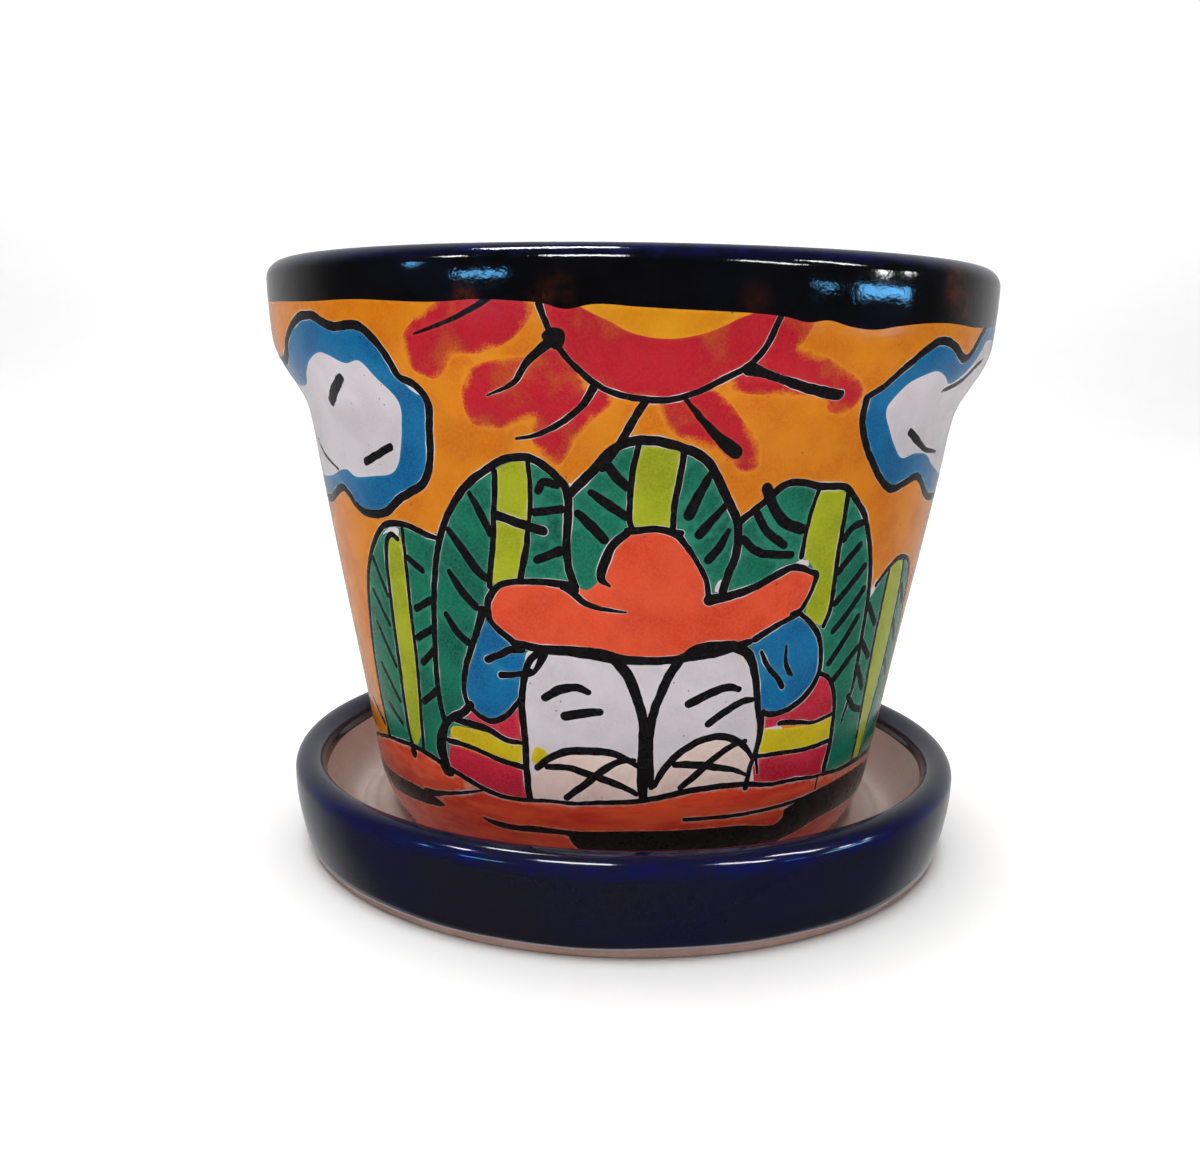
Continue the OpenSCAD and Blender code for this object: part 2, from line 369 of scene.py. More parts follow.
def draw_left_cacti(drawing):
    """The first and the second cactus, left of the middle."""
    first = [
        (-59.5, 35), (-59.5, 42), (-58.7, 50), (-57, 58), (-55, 65), (-52.5, 70.5), (-49.5, 75),
        (-46.5, 78.5), (-43.5, 80.2), (-40, 80.5)]
    stripe_left = [(-45, 76.5), (-46, 73), (-46.7, 68), (-47.5, 60), (-48.2, 50), (-48.8, 42)]
    stripe_right = [(-41.6, 62), (-42.2, 52), (-43, 44), (-44, 36)]
    drawing.field("green", [(-59, 24)] + first + [(-35, 79), (-31, 78.2), (-33, 60), (-36, 40),
                                                  (-37, 24)])
    drawing.field("lime", stripe_left + [(-48.8, 35), (-47.2, 31), (-45.4, 33)]
                  + stripe_right[::-1] + [(-40.9, 72), (-41.2, 78)], FILL)
    drawing.field("white", [
        (-46, 77.6), (-43.5, 79.4), (-41.3, 79.4), (-42, 77.6), (-44, 78.3)], FILL)
    drawing.ink([(-59, 29.5)] + first + [(-37, 79.8), (-35, 79), (-32.5, 78.6, 0.8)])
    drawing.ink([(-42, 77.3), (-43.5, 78)] + stripe_left + [(-49, 35), (-48.5, 30.5)], width=1.3)
    drawing.ink([(-40.3, 80), (-40.8, 72)] + stripe_right + [(-44.6, 31)], width=1.1)
    drawing.brush(
        [(-50.7, 72), (-48, 64.5)], [(-53, 64.5), (-49.2, 57.8)], [(-54, 57.2), (-49.6, 48.6)],
        [(-55.5, 47.5), (-50.5, 40.5)], [(-55.5, 38.5), (-51, 35)], width=1.3)
    drawing.brush(
        [(-40, 73.5), (-37, 71.5)], [(-36, 65.5), (-40, 63)], [(-36.3, 59.5), (-41, 56.5)],
        [(-37, 54.5), (-40.5, 51.3)], [(-37.8, 45.7), (-42, 42.3)])
    second = [
        (-37, 39.5), (-37.4, 45), (-37, 52), (-36, 60), (-34.8, 68), (-33.5, 74), (-32, 79),
        (-30, 83.5), (-27.5, 87.5), (-25, 90.5), (-22, 93), (-19.5, 94.8), (-17, 95.4), (-15, 95.2),
        (-13, 93.7), (-11, 91.5), (-10, 89.5), (-9.8, 86), (-10.2, 80), (-10, 75), (-9.3, 72),
        (-9, 70.5)]
    drawing.field("green", second + [(-9, 60), (-20, 45), (-37, 36)])
    stripe_left = [(-21.3, 88), (-21.8, 83), (-22.3, 78), (-23, 74)]
    stripe_right = [(-15.5, 90), (-15.7, 85.5), (-16.2, 82), (-16.5, 79, 1.4)]
    drawing.field("lime", [(-21, 92.3), (-18.5, 94.3), (-16, 94.5)] + stripe_right
                  + [(-18, 71.8), (-21, 70.5), (-23.5, 71)] + stripe_left[::-1], FILL)
    drawing.ink(second, width=1.6)
    drawing.field("white", [(-10.7, 90.6), (-9.6, 90.9), (-8.5, 90.6), (-9.6, 88)], FILL)
    drawing.ink([(-21, 92.5)] + stripe_left + [(-23.5, 70)], width=1.3)
    drawing.ink([(-15.7, 95, 1)] + stripe_right + [(-17.3, 75), (-18, 71.8)])
    drawing.ink([(-21.5, 84.3), (-18, 83.1), (-13.8, 81.7)], width=1.9)
    drawing.brush(
        [(-25.5, 88, 1.2), (-24, 84.5, 1.8), (-22.5, 80.5, 1.6)],
        [(-30.2, 80.5, 1.4), (-28, 77, 2.1), (-25.5, 73, 2.1), (-24, 71.5, 1.6)],
        [(-31, 72, 1.4), (-29, 68.5, 2), (-26.5, 65.5, 1.8)],
        [(-32.8, 63, 1.4), (-31, 59.8, 1.9), (-28.5, 57.5, 1.6)],
        [(-14.3, 89.3), (-13.5, 91), (-11.5, 90.5)], [(-15, 85.2), (-10.8, 86)],
        [(-15, 76, 1.6), (-11.3, 78, 2)])


def draw_middle_cactus(drawing):
    """The third cactus, behind the crown of the hat."""
    outline = [
        (-9.5, 89), (-8, 91), (-6, 93.5), (-4.5, 96), (-2.5, 98), (0, 99), (3, 98.9), (6, 98),
        (8.5, 96.8), (10.5, 95), (12, 92), (13.3, 89), (14.5, 86.5), (15.5, 84), (16, 80.5),
        (15.8, 77), (15, 74), (14.3, 70.5)]
    stripe_left = [(-0.4, 94), (-0.7, 89), (-0.8, 84.5), (-0.3, 82.5)]
    stripe_right = [(6.3, 92), (5.8, 87)]
    drawing.field("green", outline + [(14, 60), (-9, 60), (-10, 75), (-10.2, 82)])
    drawing.field("lime", [(0.3, 97.6), (3.4, 98.2), (6.9, 97.2)] + stripe_right + [(5.8, 82.5)]
                  + stripe_left[::-1], FILL)
    drawing.ink(outline, width=1.8)
    drawing.ink([(0.3, 98)] + stripe_left, width=1.2)
    drawing.ink([(6.9, 97.5)] + stripe_right + [(5.7, 83)], width=1.3)
    drawing.ink([(-1, 82.2), (3, 82.7), (7, 81.9)], width=1.3)
    drawing.brush(
        [(-4.3, 95, 1.4), (-3, 92.6, 2), (-1.3, 90.5, 1.8)],
        [(-6.4, 89.3, 1.4), (-4, 87.2, 1.9), (-1.3, 85, 1.8)],
        [(-8.4, 85.3, 1.6), (-6.4, 83, 2), (-4.5, 80.5, 1.9)],
        [(11, 93.5, 1.2), (9.3, 89, 2), (8, 85.3, 2.2)],
        [(13.6, 87.3, 1.2), (11.5, 84.2, 1.8), (9.8, 81.6, 2)],
        [(14.3, 82.2, 1.2), (13, 79, 1.8), (11.5, 76.7, 1.8)])


def draw_right_cacti(drawing):
    """The fourth and the fifth cactus, right of the middle."""
    fourth = [
        (16, 84), (18, 86), (20, 88), (22, 90.3), (24, 91.2), (26.5, 90.9), (29, 90.2), (33, 90),
        (35, 89.2), (38, 86), (40, 83.5), (42, 79.5), (43.5, 76), (44.7, 72), (45.5, 68),
        (46.2, 63), (46.6, 57), (47, 52), (47.3, 46), (46.5, 42), (45.8, 38)]
    fifth = [
        (47.8, 68.3), (50, 70.5), (52.5, 72.3), (55, 73), (58, 72.6), (60.5, 71.4), (63, 68),
        (64.7, 63), (66, 57), (67.2, 50), (68.3, 42), (69, 35), (69.4, 27)]
    stripe_fourth = [(35.2, 82), (35.3, 76), (35.7, 70)]
    stripe_left = [(51.8, 56), (52.2, 50), (52.8, 44), (53.5, 38), (54.2, 32)]
    stripe_right = [(57.6, 72), (58.8, 66), (59.5, 58), (59.8, 50), (59.5, 42), (58.9, 35)]
    drawing.field("green", fifth + [(69, 20), (42, 20), (44, 45), (46, 66)])
    drawing.field("green", fourth + [(43, 22), (35, 40), (30, 55), (14, 60), (14, 74), (15, 80)])
    drawing.field("lime", [(28.8, 89.4), (32, 89.4), (34.9, 88)] + stripe_fourth
                  + [(35.8, 65), (34.8, 61.8), (32.5, 62.5), (30.4, 64.5), (30.8, 68), (31.5, 71),
                     (30, 74.5), (28, 77), (28.2, 84)], FILL)
    drawing.field("lime", [(51.8, 71.5), (55, 72.4)] + stripe_right + [(58.5, 22), (54.6, 22)]
                  + stripe_left[::-1] + [(51.6, 64)], FILL)
    drawing.field("white", [(45.9, 65.5), (46.3, 67.6), (47.6, 69.6), (47.6, 67)], FILL)
    drawing.ink(fourth[:-3] + [(47.3, 46, 1.3), (46.5, 42, 1.1), (45.8, 38, 0.7)], width=1.5)
    drawing.ink([(29, 90, 1), (28.2, 86), (27.7, 81), (27.6, 76.5, 1.3)])
    drawing.ink([(35, 88.5)] + stripe_fourth + [(35.9, 65), (35, 61.5)], width=1.3)
    drawing.brush(
        [(19.7, 90.2, 2.2), (21, 87), (23.5, 83.5), (26.8, 82)],
        [(18.7, 85.3), (20.5, 82), (24, 79)], [(16.8, 80.5), (20, 77.7), (25.5, 77)],
        [(40, 82.3), (37.5, 81.5), (36, 79.3)], [(40.3, 77.6), (38, 75), (36.2, 72.6)],
        [(42.7, 73), (40, 69.5), (36.8, 66)], [(43.8, 68), (41, 63.8), (37.7, 60)],
        [(43.8, 62), (41.5, 58), (38.2, 53)], [(45.8, 55), (43, 52), (40, 48.5)], width=1.7)
    drawing.ink(fifth, width=1.3)
    drawing.ink([(51.6, 71), (51.7, 64)] + stripe_left + [(54.5, 27)], width=1.2)
    drawing.ink(stripe_right + [(58.5, 27)], width=1)
    drawing.brush(
        [(46.8, 64), (50.3, 59.5)], [(47, 56), (50.7, 52)], [(47.6, 50), (51, 45)],
        [(46.3, 44), (49, 41), (52.8, 39.5)], [(60, 66), (63, 62)], [(60, 58), (64, 53)],
        [(60.5, 49), (64, 45)])


# ---- The resting figure under its hat -------------------------------------------------------

BRIM_LEFT = [
    (-9, 71.2, 1.6), (-12, 71.6, 1.5), (-17, 71.6, 1.3), (-21, 70.8, 1.3), (-23.3, 68.5, 1.6),
    (-24.2, 66), (-23.9, 63, 1.4), (-22, 60.8)]
CROWN_RIGHT = [(8, 79.3, 1.2), (10, 75.8, 1.1), (11.5, 72.5)]
HAT = (BRIM_LEFT + [(-19, 59.3), (-15, 58.9), (-10, 58.8), (-5, 58.4), (-2, 57.9), (3, 57.5),
                    (8, 57.9), (11, 59.8), (15, 60.2), (20, 60.2), (21.5, 60.6), (25, 62.8),
                    (29, 64.9), (30, 67), (31, 70), (31.2, 72.4), (30, 73.2), (28, 74.1),
                    (26, 74.2), (23, 72.8), (19, 70.4), (15, 69.1), (12, 69)]
       + CROWN_RIGHT[::-1] + [(6, 81.6), (3, 82.4), (0, 82.2), (-2, 81), (-3.2, 79), (-4.3, 76),
                              (-5, 73), (-7, 70.6)])


def draw_hat(drawing):
    """A wide hat that hides the face of the figure under it, seen from the front."""
    drawing.field("white", [(26.2, 74.6), (27.4, 75.8), (29, 75.6), (29.3, 74.6), (28, 74.2)], FILL)
    drawing.field("white", [(13, 70.4), (13.4, 72.4), (14.3, 72.6), (15.1, 70.6)], FILL)
    drawing.field("hat", HAT, FILL)
    drawing.ink(BRIM_LEFT + [(-20, 59.2, 1.5)])
    drawing.ink(
        [(-20, 59, 1.6), (-15, 58.2, 1.8), (-10, 58.1, 2.2), (-5, 57.6, 2.6), (-2, 56.9, 2.2),
         (3, 56.6, 1.8), (8, 57, 1.8), (11, 58.2, 3.4), (15, 58.8, 3.2), (18, 59.2, 1.8),
         (20, 59.8, 1.5)], [(29, 64.8, 1.2), (25, 62.8, 1.3), (21, 60.3, 1.6)],
        [(12.2, 68.8, 2.4), (15, 69.3, 1.8), (19, 70.6, 1.6), (23, 72.9), (26, 74.4),
         (28, 74.2, 1.4), (30, 73.2, 1.2), (31.3, 72.5, 1.5), (31, 70, 1.1), (30, 67),
         (29, 65.4, 1.2), (27.5, 64.8)],
        [(-1, 82, 1.6), (-3.2, 79.5, 1.7), (-4.3, 76.5, 1.8), (-5, 73, 1.7), (-3.6, 71.5, 0.5)])
    drawing.ink([(-1, 82.2, 1.6), (3, 82.6, 1.2), (6, 81.8, 1.4)] + CROWN_RIGHT + [(12, 69.5, 1.2)])
    drawing.ink([(-11, 71, 1.4), (-9.5, 70, 1.5), (-7.5, 68, 1.3), (-5, 67, 1), (-1, 66.4, 0.4)])


def draw_legs(drawing):
    """White trousers on drawn-up legs, and the crossed straps on both feet."""
    foot_left = [
        (-17, 32.5, 1.4), (-14.5, 35, 1.5), (-11, 36.8, 1.7), (-7, 37.2, 1.8), (-3, 36.9, 1.6),
        (0, 35.4, 1.3), (1.5, 34.3, 1.2)]
    foot_right = [
        (6.5, 33.5, 1.5), (9, 36.8, 1.6), (12.5, 39.3), (16, 40.1), (19.5, 39), (22, 36.8, 1.2),
        (23.5, 34.5, 1)]
    drawing.field("white", [
        (-16, 20), (-18.4, 21.5), (-19, 25), (-19, 45), (-18.5, 52), (-15.5, 55.5), (-12, 58),
        (-3, 57.5), (8, 57), (17, 58.5), (19.5, 56), (21.5, 52), (22.8, 46), (23.6, 40), (23.7, 35),
        (23.3, 25), (22.8, 21.5), (21, 20)], FILL)
    drawing.field("white", [
        (-18.1, 53.2), (-17.7, 57), (-15.5, 58), (-15.8, 54.5), (-17.6, 52.4)], FILL)
    drawing.field("cream", foot_left + [(2, 20), (-18, 20)], FILL)
    drawing.field("cream", [(4.8, 30)] + foot_right + [(23.5, 20), (4, 20)], FILL)
    drawing.field("yellow", [
        (-18, 33.8), (-17.2, 37), (-15.2, 36.6), (-15, 34.6), (-16.2, 33.4)], FILL)
    drawing.ink([
        (-14.5, 58), (-16.6, 56.3), (-17.8, 54), (-18.7, 50), (-19.2, 45), (-19, 38), (-19.2, 32),
        (-19, 25.5)], width=1.5)
    drawing.ink(
        [(-14.5, 57.5, 1.8), (-16, 54, 1.2), (-17.5, 52.5, 1)],
        [(-3, 57, 2), (-0.5, 53.5, 2.2), (1.2, 48.5, 2), (2.3, 44, 1.9), (2.6, 38, 2.2),
         (2.6, 32, 2.4), (2.8, 27, 1.8)],
        [(8, 56.8, 2), (6.2, 53, 1.9), (4.8, 48.5, 1.8), (3.8, 44), (3.6, 38, 1.6), (3.9, 32, 1.8),
         (4.3, 29.5, 1.3)],
        [(17, 59.3, 2.2), (20.2, 57, 2), (22, 52, 1.7), (23.2, 46, 1.5), (24.2, 41, 1.2),
         (24, 36, 1.1), (23.2, 32), (22.9, 28, 1.4)],
        [(24.5, 45, 0.7), (24.8, 40), (24.3, 35), (25, 31)])
    drawing.brush(
        [(-14.8, 48, 1.7), (-12, 50, 1.9), (-9, 50.6, 1.7), (-7.2, 49.8, 1.4)],
        [(-11.3, 44.4, 2), (-8, 45.3), (-5.2, 45.7, 1.6)],
        [(10.2, 47.5, 1.9), (14, 49.6), (17, 50.6, 1.7), (19, 50, 1.4)],
        [(14, 43, 1.6), (17, 45.5, 1.7), (20, 47.3, 1.5), (22, 47.5, 1.2)])
    drawing.brush(foot_left, [(4.8, 29.8, 1.2)] + foot_right,
                  [(-15, 33, 1.4), (-11, 33.2, 1.5), (-7, 32, 1.7), (-3, 30.5, 1.6), (0, 29, 1.3),
                   (1.5, 28, 1.2)],
                  [(1, 35.5, 0.9), (-2, 35, 1.4), (-5, 32.8, 1.6), (-8, 29.8), (-11.5, 26.5, 1.5)],
                  [(8.5, 34.4, 1.5), (12, 34.2, 1.7), (16, 33.4, 1.6), (20, 32.3, 1.2),
                   (22.8, 30.8, 0.8)],
                  [(9.8, 29.3, 1.4), (13, 32.5, 1.6), (16, 35.6, 1.5), (19, 37.8, 1.4),
                   (21.5, 38.5, 1.2)])


def draw_sleeves(drawing):
    """Blue sleeves, folded round the knees."""
    drawing.field("blue", [
        (-24.3, 64), (-26.5, 59), (-27.9, 55), (-29.6, 51), (-30.3, 47), (-29.8, 44.5),
        (-27.5, 42.3), (-25, 42), (-22.5, 43.5), (-20, 46.7), (-18.7, 51), (-17.5, 57),
        (-20.5, 59.2), (-22.6, 61.6)], FILL)
    drawing.field("blue", [
        (20.5, 59.8), (23, 61.3), (26, 63), (28.7, 64.2), (31, 62.8), (33.7, 60), (35.2, 56),
        (35.5, 51), (34, 47.5), (31, 45.2), (27.5, 44), (24.4, 43.8), (23.2, 48.5), (22.6, 53),
        (21, 57)], FILL)
    drawing.ink(
        [(-25.2, 65, 2), (-26.5, 61, 1.6), (-28.3, 56.5, 1.5), (-30, 52), (-30.9, 47.5, 1.3),
         (-30.3, 44.3, 1.4), (-28, 42.2, 1.3), (-25.5, 41.5, 1.4), (-22.8, 42.8, 1.3),
         (-20.5, 45.5, 1.2), (-19.3, 47.5, 1)],
        [(29.5, 64.6, 1.1), (32, 62.3, 1.2), (34.5, 59, 1.4), (35.7, 55, 1.3), (36, 51.5),
         (34.8, 48.3, 1.6), (32.5, 45.8, 1.5), (29, 44, 1.4), (26, 43.8), (24.5, 44.5, 1.3)],
        [(-25.2, 54.7, 1.5), (-22.5, 56.2), (-20.5, 57.4, 1.6), (-18.3, 57.5, 1.2)],
        [(-22.7, 51.8, 1.5), (-19.5, 52.4, 1.2), (-17, 53.1, 1.6)],
        [(22.5, 57.5, 0.8), (24, 54.5, 1.1), (26.5, 51.5, 1.3), (27.8, 49.5, 1.3)],
        [(27.4, 58.3, 0.6), (27.8, 54.8, 1), (28.8, 52.5, 1.3), (29.5, 51.8, 0.9)])


def draw_serape(drawing):
    """The striped serape on both sides of the legs."""
    drawing.field("red", [
        (-32, 41.8), (-30, 42.8), (-27, 41.4), (-24.5, 42.3), (-21.5, 45), (-19.8, 46.4),
        (-19.2, 42), (-19.4, 38.4), (-21.5, 37.4), (-24, 38.2), (-26, 39.8), (-29, 40.4)], FILL)
    drawing.field("yellow", [
        (-35.4, 36.2), (-35, 38.4), (-31, 38.9), (-27, 38.7), (-24, 37.7), (-19.6, 37),
        (-19.6, 33.2), (-23, 33.5), (-28, 34.5), (-32, 35.3)], FILL)
    drawing.field("red", [
        (-37, 29), (-36.6, 33), (-35.4, 34.1), (-30, 33.6), (-25, 32.6), (-20, 31.6), (-19.2, 28),
        (-19.6, 20), (-37, 20)], FILL)
    drawing.ink(
        [(-29.7, 44.3, 1.8), (-32, 42, 1.8), (-35, 40.2), (-37, 38, 2), (-38.5, 34.5, 3),
         (-38.8, 31.5, 3), (-38, 28.5, 2.4)],
        [(-34, 40.2, 1.6), (-29, 39.8, 1.8), (-26, 39.3, 1.6), (-23, 37.8, 1.3),
         (-19.8, 37.6, 1.1)],
        [(-36.5, 34.9, 1.4), (-32, 34.8, 1.2), (-28, 34), (-24, 32.9, 1.3), (-19.8, 32.3)])
    drawing.field("red", [
        (36.4, 51.2), (39, 49.2), (40.8, 46.5), (42, 42.5), (42, 40.6), (39, 40), (35, 40.5),
        (31, 41.3), (27.4, 42.3), (29, 43.3), (31, 44.2), (34, 46.4), (35.6, 49)], FILL)
    drawing.field("white", [(24.4, 39.8), (24.4, 41.8), (26, 42), (28.5, 41), (29, 40)], FILL)
    drawing.field("red", [
        (24.9, 41.1), (24.6, 43.5), (27.5, 43.8), (30, 42.6), (28.6, 41.2), (26.2, 40.9)], FILL)
    drawing.field("yellow", [
        (24.8, 40.2), (28, 40.3), (34, 39.9), (42.6, 40.4), (42.9, 37.5), (42.9, 35.2), (38, 34.9),
        (32, 35), (24.6, 35.1)], FILL)
    drawing.field("red", [
        (24.4, 34.4), (30, 34), (36, 33.9), (42.6, 34), (42.9, 31), (42.6, 20), (24.2, 20),
        (23.8, 31.5)], FILL)
    drawing.ink(
        [(28.4, 41.5, 1.2), (31, 41.3), (34, 40.7, 1), (37, 40.2, 0.9), (41, 40.8, 1),
         (42.5, 41.3)],
        [(36.2, 51.2, 1.1), (39, 49.5, 1.2), (41, 46.5, 1.3), (42.3, 42.5), (43, 38, 1.4),
         (43.3, 33, 1.6), (43, 29, 1.8), (43.3, 27, 1.3)],
        [(24.5, 34.8, 1), (30, 34.7, 1.1), (36, 34.4), (42.8, 34.8, 1.2)])


# ---- The back of the pot --------------------------------------------------------------------

BACK_CACTI = ((-237, 8.5, 62), (-209, 14.5, 88), (-179, 14, 100), (-150, 13.5, 82),
              (-126, 9, 66), (88, 10, 70))               # middle, half the width, top
BACK_CLOUDS = ((-122, 101, 15, 13), (-228, 104, 16, 12))    # middle, height, halves of the size
DOME_SIDE = [(1, 0.0), (1.05, 0.3), (1.02, 0.55), (0.9, 0.76), (0.66, 0.91), (0.33, 0.985)]
STRIPE_SIDE = [(0.3, 0.95), (0.24, 0.7), (0.27, 0.4), (0.2, 0.0)]    # both in shares of the size
UNDER_GROUND = 5                # how far a cactus's colour goes on under the ground's


def draw_plain_cactus(drawing, middle, foot, half, top):
    """A single cactus: a tall dome with a lime stripe and slanting strokes on both sides."""
    rise = top - foot
    deep = foot - UNDER_GROUND
    right = [(middle + half * x, foot + rise * y) for x, y in DOME_SIDE]
    left = [(middle - half * x, foot + rise * (y - 0.02)) for x, y in DOME_SIDE]
    outline = left + [(middle, top)] + right[::-1]
    stripe_right = [(middle + half * x, foot + rise * y) for x, y in STRIPE_SIDE]
    stripe_left = [(middle - half * (x - 0.05), foot + rise * y) for x, y in STRIPE_SIDE]
    drawing.field("green", [(middle - half, deep)] + outline + [(middle + half, deep)])
    drawing.field("lime", [(stripe_left[-1][0], deep)] + stripe_left[::-1] + stripe_right
                  + [(stripe_right[-1][0], deep)], FILL)
    drawing.ink(outline, width=1.6)
    drawing.ink(stripe_left, width=1.2)
    drawing.ink(stripe_right, width=1.2)
    rows = max(3, round(rise / 10))
    for i in range(rows):
        y = foot + rise * (0.22 + 0.6 * i / (rows - 1))
        reach = half * (0.88 - 0.25 * i / (rows - 1))
        drawing.brush([(middle - reach, y + 5, 1.2), (middle - 0.6 * reach, y + 2, 1.9),
                       (middle - 0.42 * reach, y - 1, 1.6)],
                      [(middle + reach, y + 4, 1.2), (middle + 0.66 * reach, y + 1, 1.8),
                       (middle + 0.45 * reach, y - 2, 1.6)])


def draw_back(drawing):
    """Plain cacti under two clouds."""
    for middle, half, top in BACK_CACTI:
        draw_plain_cactus(drawing, middle, float(ground_edge(middle)), half, top)
    turns = np.radians(np.arange(0, 360, 15))
    lobes = 1 + 0.13 * np.cos(5 * turns + 0.6) + 0.05 * np.sin(3 * turns)
    for middle, height, wide, tall in BACK_CLOUDS:
        ring = [(middle + wide * w * math.cos(t), height + tall * w * math.sin(t))
                for t, w in zip(turns, lobes)]
        inner = [(middle + 0.68 * (a - middle), height + 0.66 * (z - height)) for a, z in ring]
        draw_cloud(drawing, ring, inner, 1.8)
        drawing.brush([(middle - 5, height + 3), (middle - 1, height + 5)],
                      [(middle + 2, height - 4), (middle + 7, height - 2)], width=1.5)


# ---- The edges that run all the way round ---------------------------------------------------

BAND_EDGE = [
    (-80, 124.2), (-65, 123.8), (-50, 123.3), (-40, 123.4), (-25, 122.8), (-20, 123.2),
    (-15, 122.9), (-12, 122.6), (-9, 121.6), (-6, 122.4), (0, 122.1), (5, 121.8), (10, 121.6),
    (15, 121.3), (18, 120.9), (21, 120.1), (24, 120.5), (27, 119.6), (31, 119.1), (35, 119.8),
    (40, 120.5), (45, 120.8), (50, 120.6), (54, 120.3), (60, 120.5), (75, 121.3), (95, 122.3),
    (110, 121.5), (125, 122.8), (145, 121.6), (165, 123), (185, 121.7), (205, 123.2), (225, 122.3),
    (245, 123.7), (265, 123.9)]
GROUND_EDGE = [
    (-80, 23.5), (-75, 25), (-70, 26.8), (-65, 28), (-60, 29.3), (-55, 30), (-47, 30.6), (-43, 30),
    (-40, 29.2), (-36, 28), (-32, 26.6), (-28, 25.3), (-24, 24.7), (-20, 24.8), (-15, 25.3),
    (-10, 25.3), (-5, 25.9), (0, 26.2), (6, 27.2), (10, 28.2), (15, 28.8), (20, 29), (23, 28.8),
    (26, 28.2), (29, 27.8), (33, 27.9), (36, 27.6), (40, 27.1), (44, 26.9), (48, 26.5), (56, 26.4),
    (65, 25.8), (70, 25), (75, 23.5), (80, 22), (95, 21.5), (110, 23), (125, 25), (140, 26.5),
    (155, 27.5), (170, 26.8), (185, 25.6), (200, 26.4), (215, 27.6), (230, 26), (245, 23.5),
    (260, 22.5), (270, 22.8)]


def round_line(points):
    """A smooth function of the angle that goes all the way round through the points."""
    a, z = np.array(points, float).T
    return smooth_line(np.concatenate([a - 360, a, a + 360]), np.tile(z, 3))


def wavy_line(height, swing):
    """A gently wavy height all the way round."""
    def value(a):
        return height + swing * waves(EDGE_WAVES, a)
    return value


ROUND = np.arange(START - PAST_SEAM, SEAM + PAST_SEAM + 0.01, 0.5)     # angles of those lines
BELOW_ALL, ABOVE_ALL = -5, 200                     # heights past every part of the skin
foot_edge = wavy_line(GROUND_FOOT + 0.4, 0.25)     # where the paint ends above the bare foot,
inner_edge = wavy_line(BAND_END - 2.5, 0.9)        # and inside the pot
band_edge = round_line(BAND_EDGE)
ground_edge = round_line(GROUND_EDGE)


def shut(edge, height):
    """An edge that goes all the way round, shut into an outline at a height past the skin."""
    return np.vstack([edge, [(SEAM + PAST_SEAM, height), (START - PAST_SEAM, height)]])


def draw_ground(drawing):
    """The ground: its edge line, shadows, brush marks and a painted reflection, front and back."""
    edge = np.stack([ROUND, ground_edge(ROUND)], 1)
    drawing.area(GROUND, "terracotta", shut(edge, BELOW_ALL))
    width = 1.15 + 0.25 * np.sin(np.radians(ROUND * 7))
    line = np.column_stack([edge, width])
    drawing.area(INK, "ink", stroke(line))
    drawing.halo(line)
    drawing.points.append(edge)
    drawing.ink([(-29.5, 25.1, 0.6), (-36, 23, 0.8), (-41, 21.6, 1.2), (-46, 20.4, 2.2)])
    drawing.brush(
        [(-40.5, 19, 0.5), (-43, 19, 2), (-50, 19, 3.8), (-60, 18.1, 4.3), (-70, 17.5, 4.6),
         (-80, 16.5, 4.5), (-95, 15.5, 3.5), (-105, 15, 1.5)])
    drawing.blot([
        (-30.5, 18.9), (-27, 18.7), (-22, 18.6), (-18.5, 19.1), (-10, 19), (0, 19.6), (10, 19.6),
        (20, 19.5), (24, 19.2), (28, 18.4), (31, 18.1), (33, 19.5), (33, 21), (36, 22.2), (40, 23),
        (45, 23.8), (50, 24.1), (55, 24.2), (60, 24), (65, 23.3), (70, 22.5), (80, 21), (95, 20),
        (84, 17), (70, 15), (55, 16.2), (45, 16.2), (38, 14.7), (30, 12.8), (25, 12), (10, 12),
        (-2, 13.2), (-5, 14), (-9, 14.5), (-10.5, 15.6), (-11.3, 17), (-12, 17.8), (-18, 17.6),
        (-24, 17.2), (-28, 17.6)])
    drawing.ink([(11, 22, 0.9), (20, 21.9), (30, 22.2), (38, 22.7), (44, 23.4)])
    drawing.points.append(np.array([(a, 20.7) for a in range(8, 34)], float))   # under that line
    drawing.field("white", [(32, 21.4), (36, 21.6), (39.5, 22), (36, 21.9)], GROUND)
    drawing.blot([(-49.6, 29.6), (-48.5, 30.4), (-47.2, 29.4), (-48, 27.8), (-49.2, 28)])
    drawing.blot([(-40, 28.8), (-38, 28.4), (-36, 28.2), (-36.8, 26.6), (-39, 26.6)])
    drawing.brush([(41.3, 24), (41.3, 26.6)], width=0.6)
    drawing.brush(
        # painted reflection: this first stroke, a dark tick low on the far left, stands for a dark
        # reflection
        [(-61, 32.5, 1.6), (-66, 36, 0.8), (-69, 38.5, 0.3)],
        [(-128, 19.5, 0.8), (-140, 20.2, 2.4), (-155, 19.6, 3.2), (-170, 18.8, 1.2)],
        [(-150, 15, 0.8), (-165, 14.2, 3), (-185, 13.6, 4.2), (-205, 14.4, 3), (-216, 15.4, 0.8)],
        [(-190, 20.5, 0.8), (-205, 21.5, 2), (-225, 20.8, 1)])


def draw_band(drawing):
    """The cobalt band, which covers all that reaches past its lower edge."""
    edge = np.stack([ROUND, band_edge(ROUND)], 1)
    drawing.area(BAND, "cobalt", shut(edge, ABOVE_ALL))


# ---- From the drawing to the painted coats --------------------------------------------------

ACROSS = 1.3                    # millimetres to a degree while the unrolled skin is cut
GRID_A = 1.5                    # the mesh has points at least this many degrees apart,
GRID_V = 2.0                    # and this many millimetres,
GRID_LIP = 0.6                  # and closer over the lip
CUT_NEAR = 1e-4                 # points closer than this are taken as one


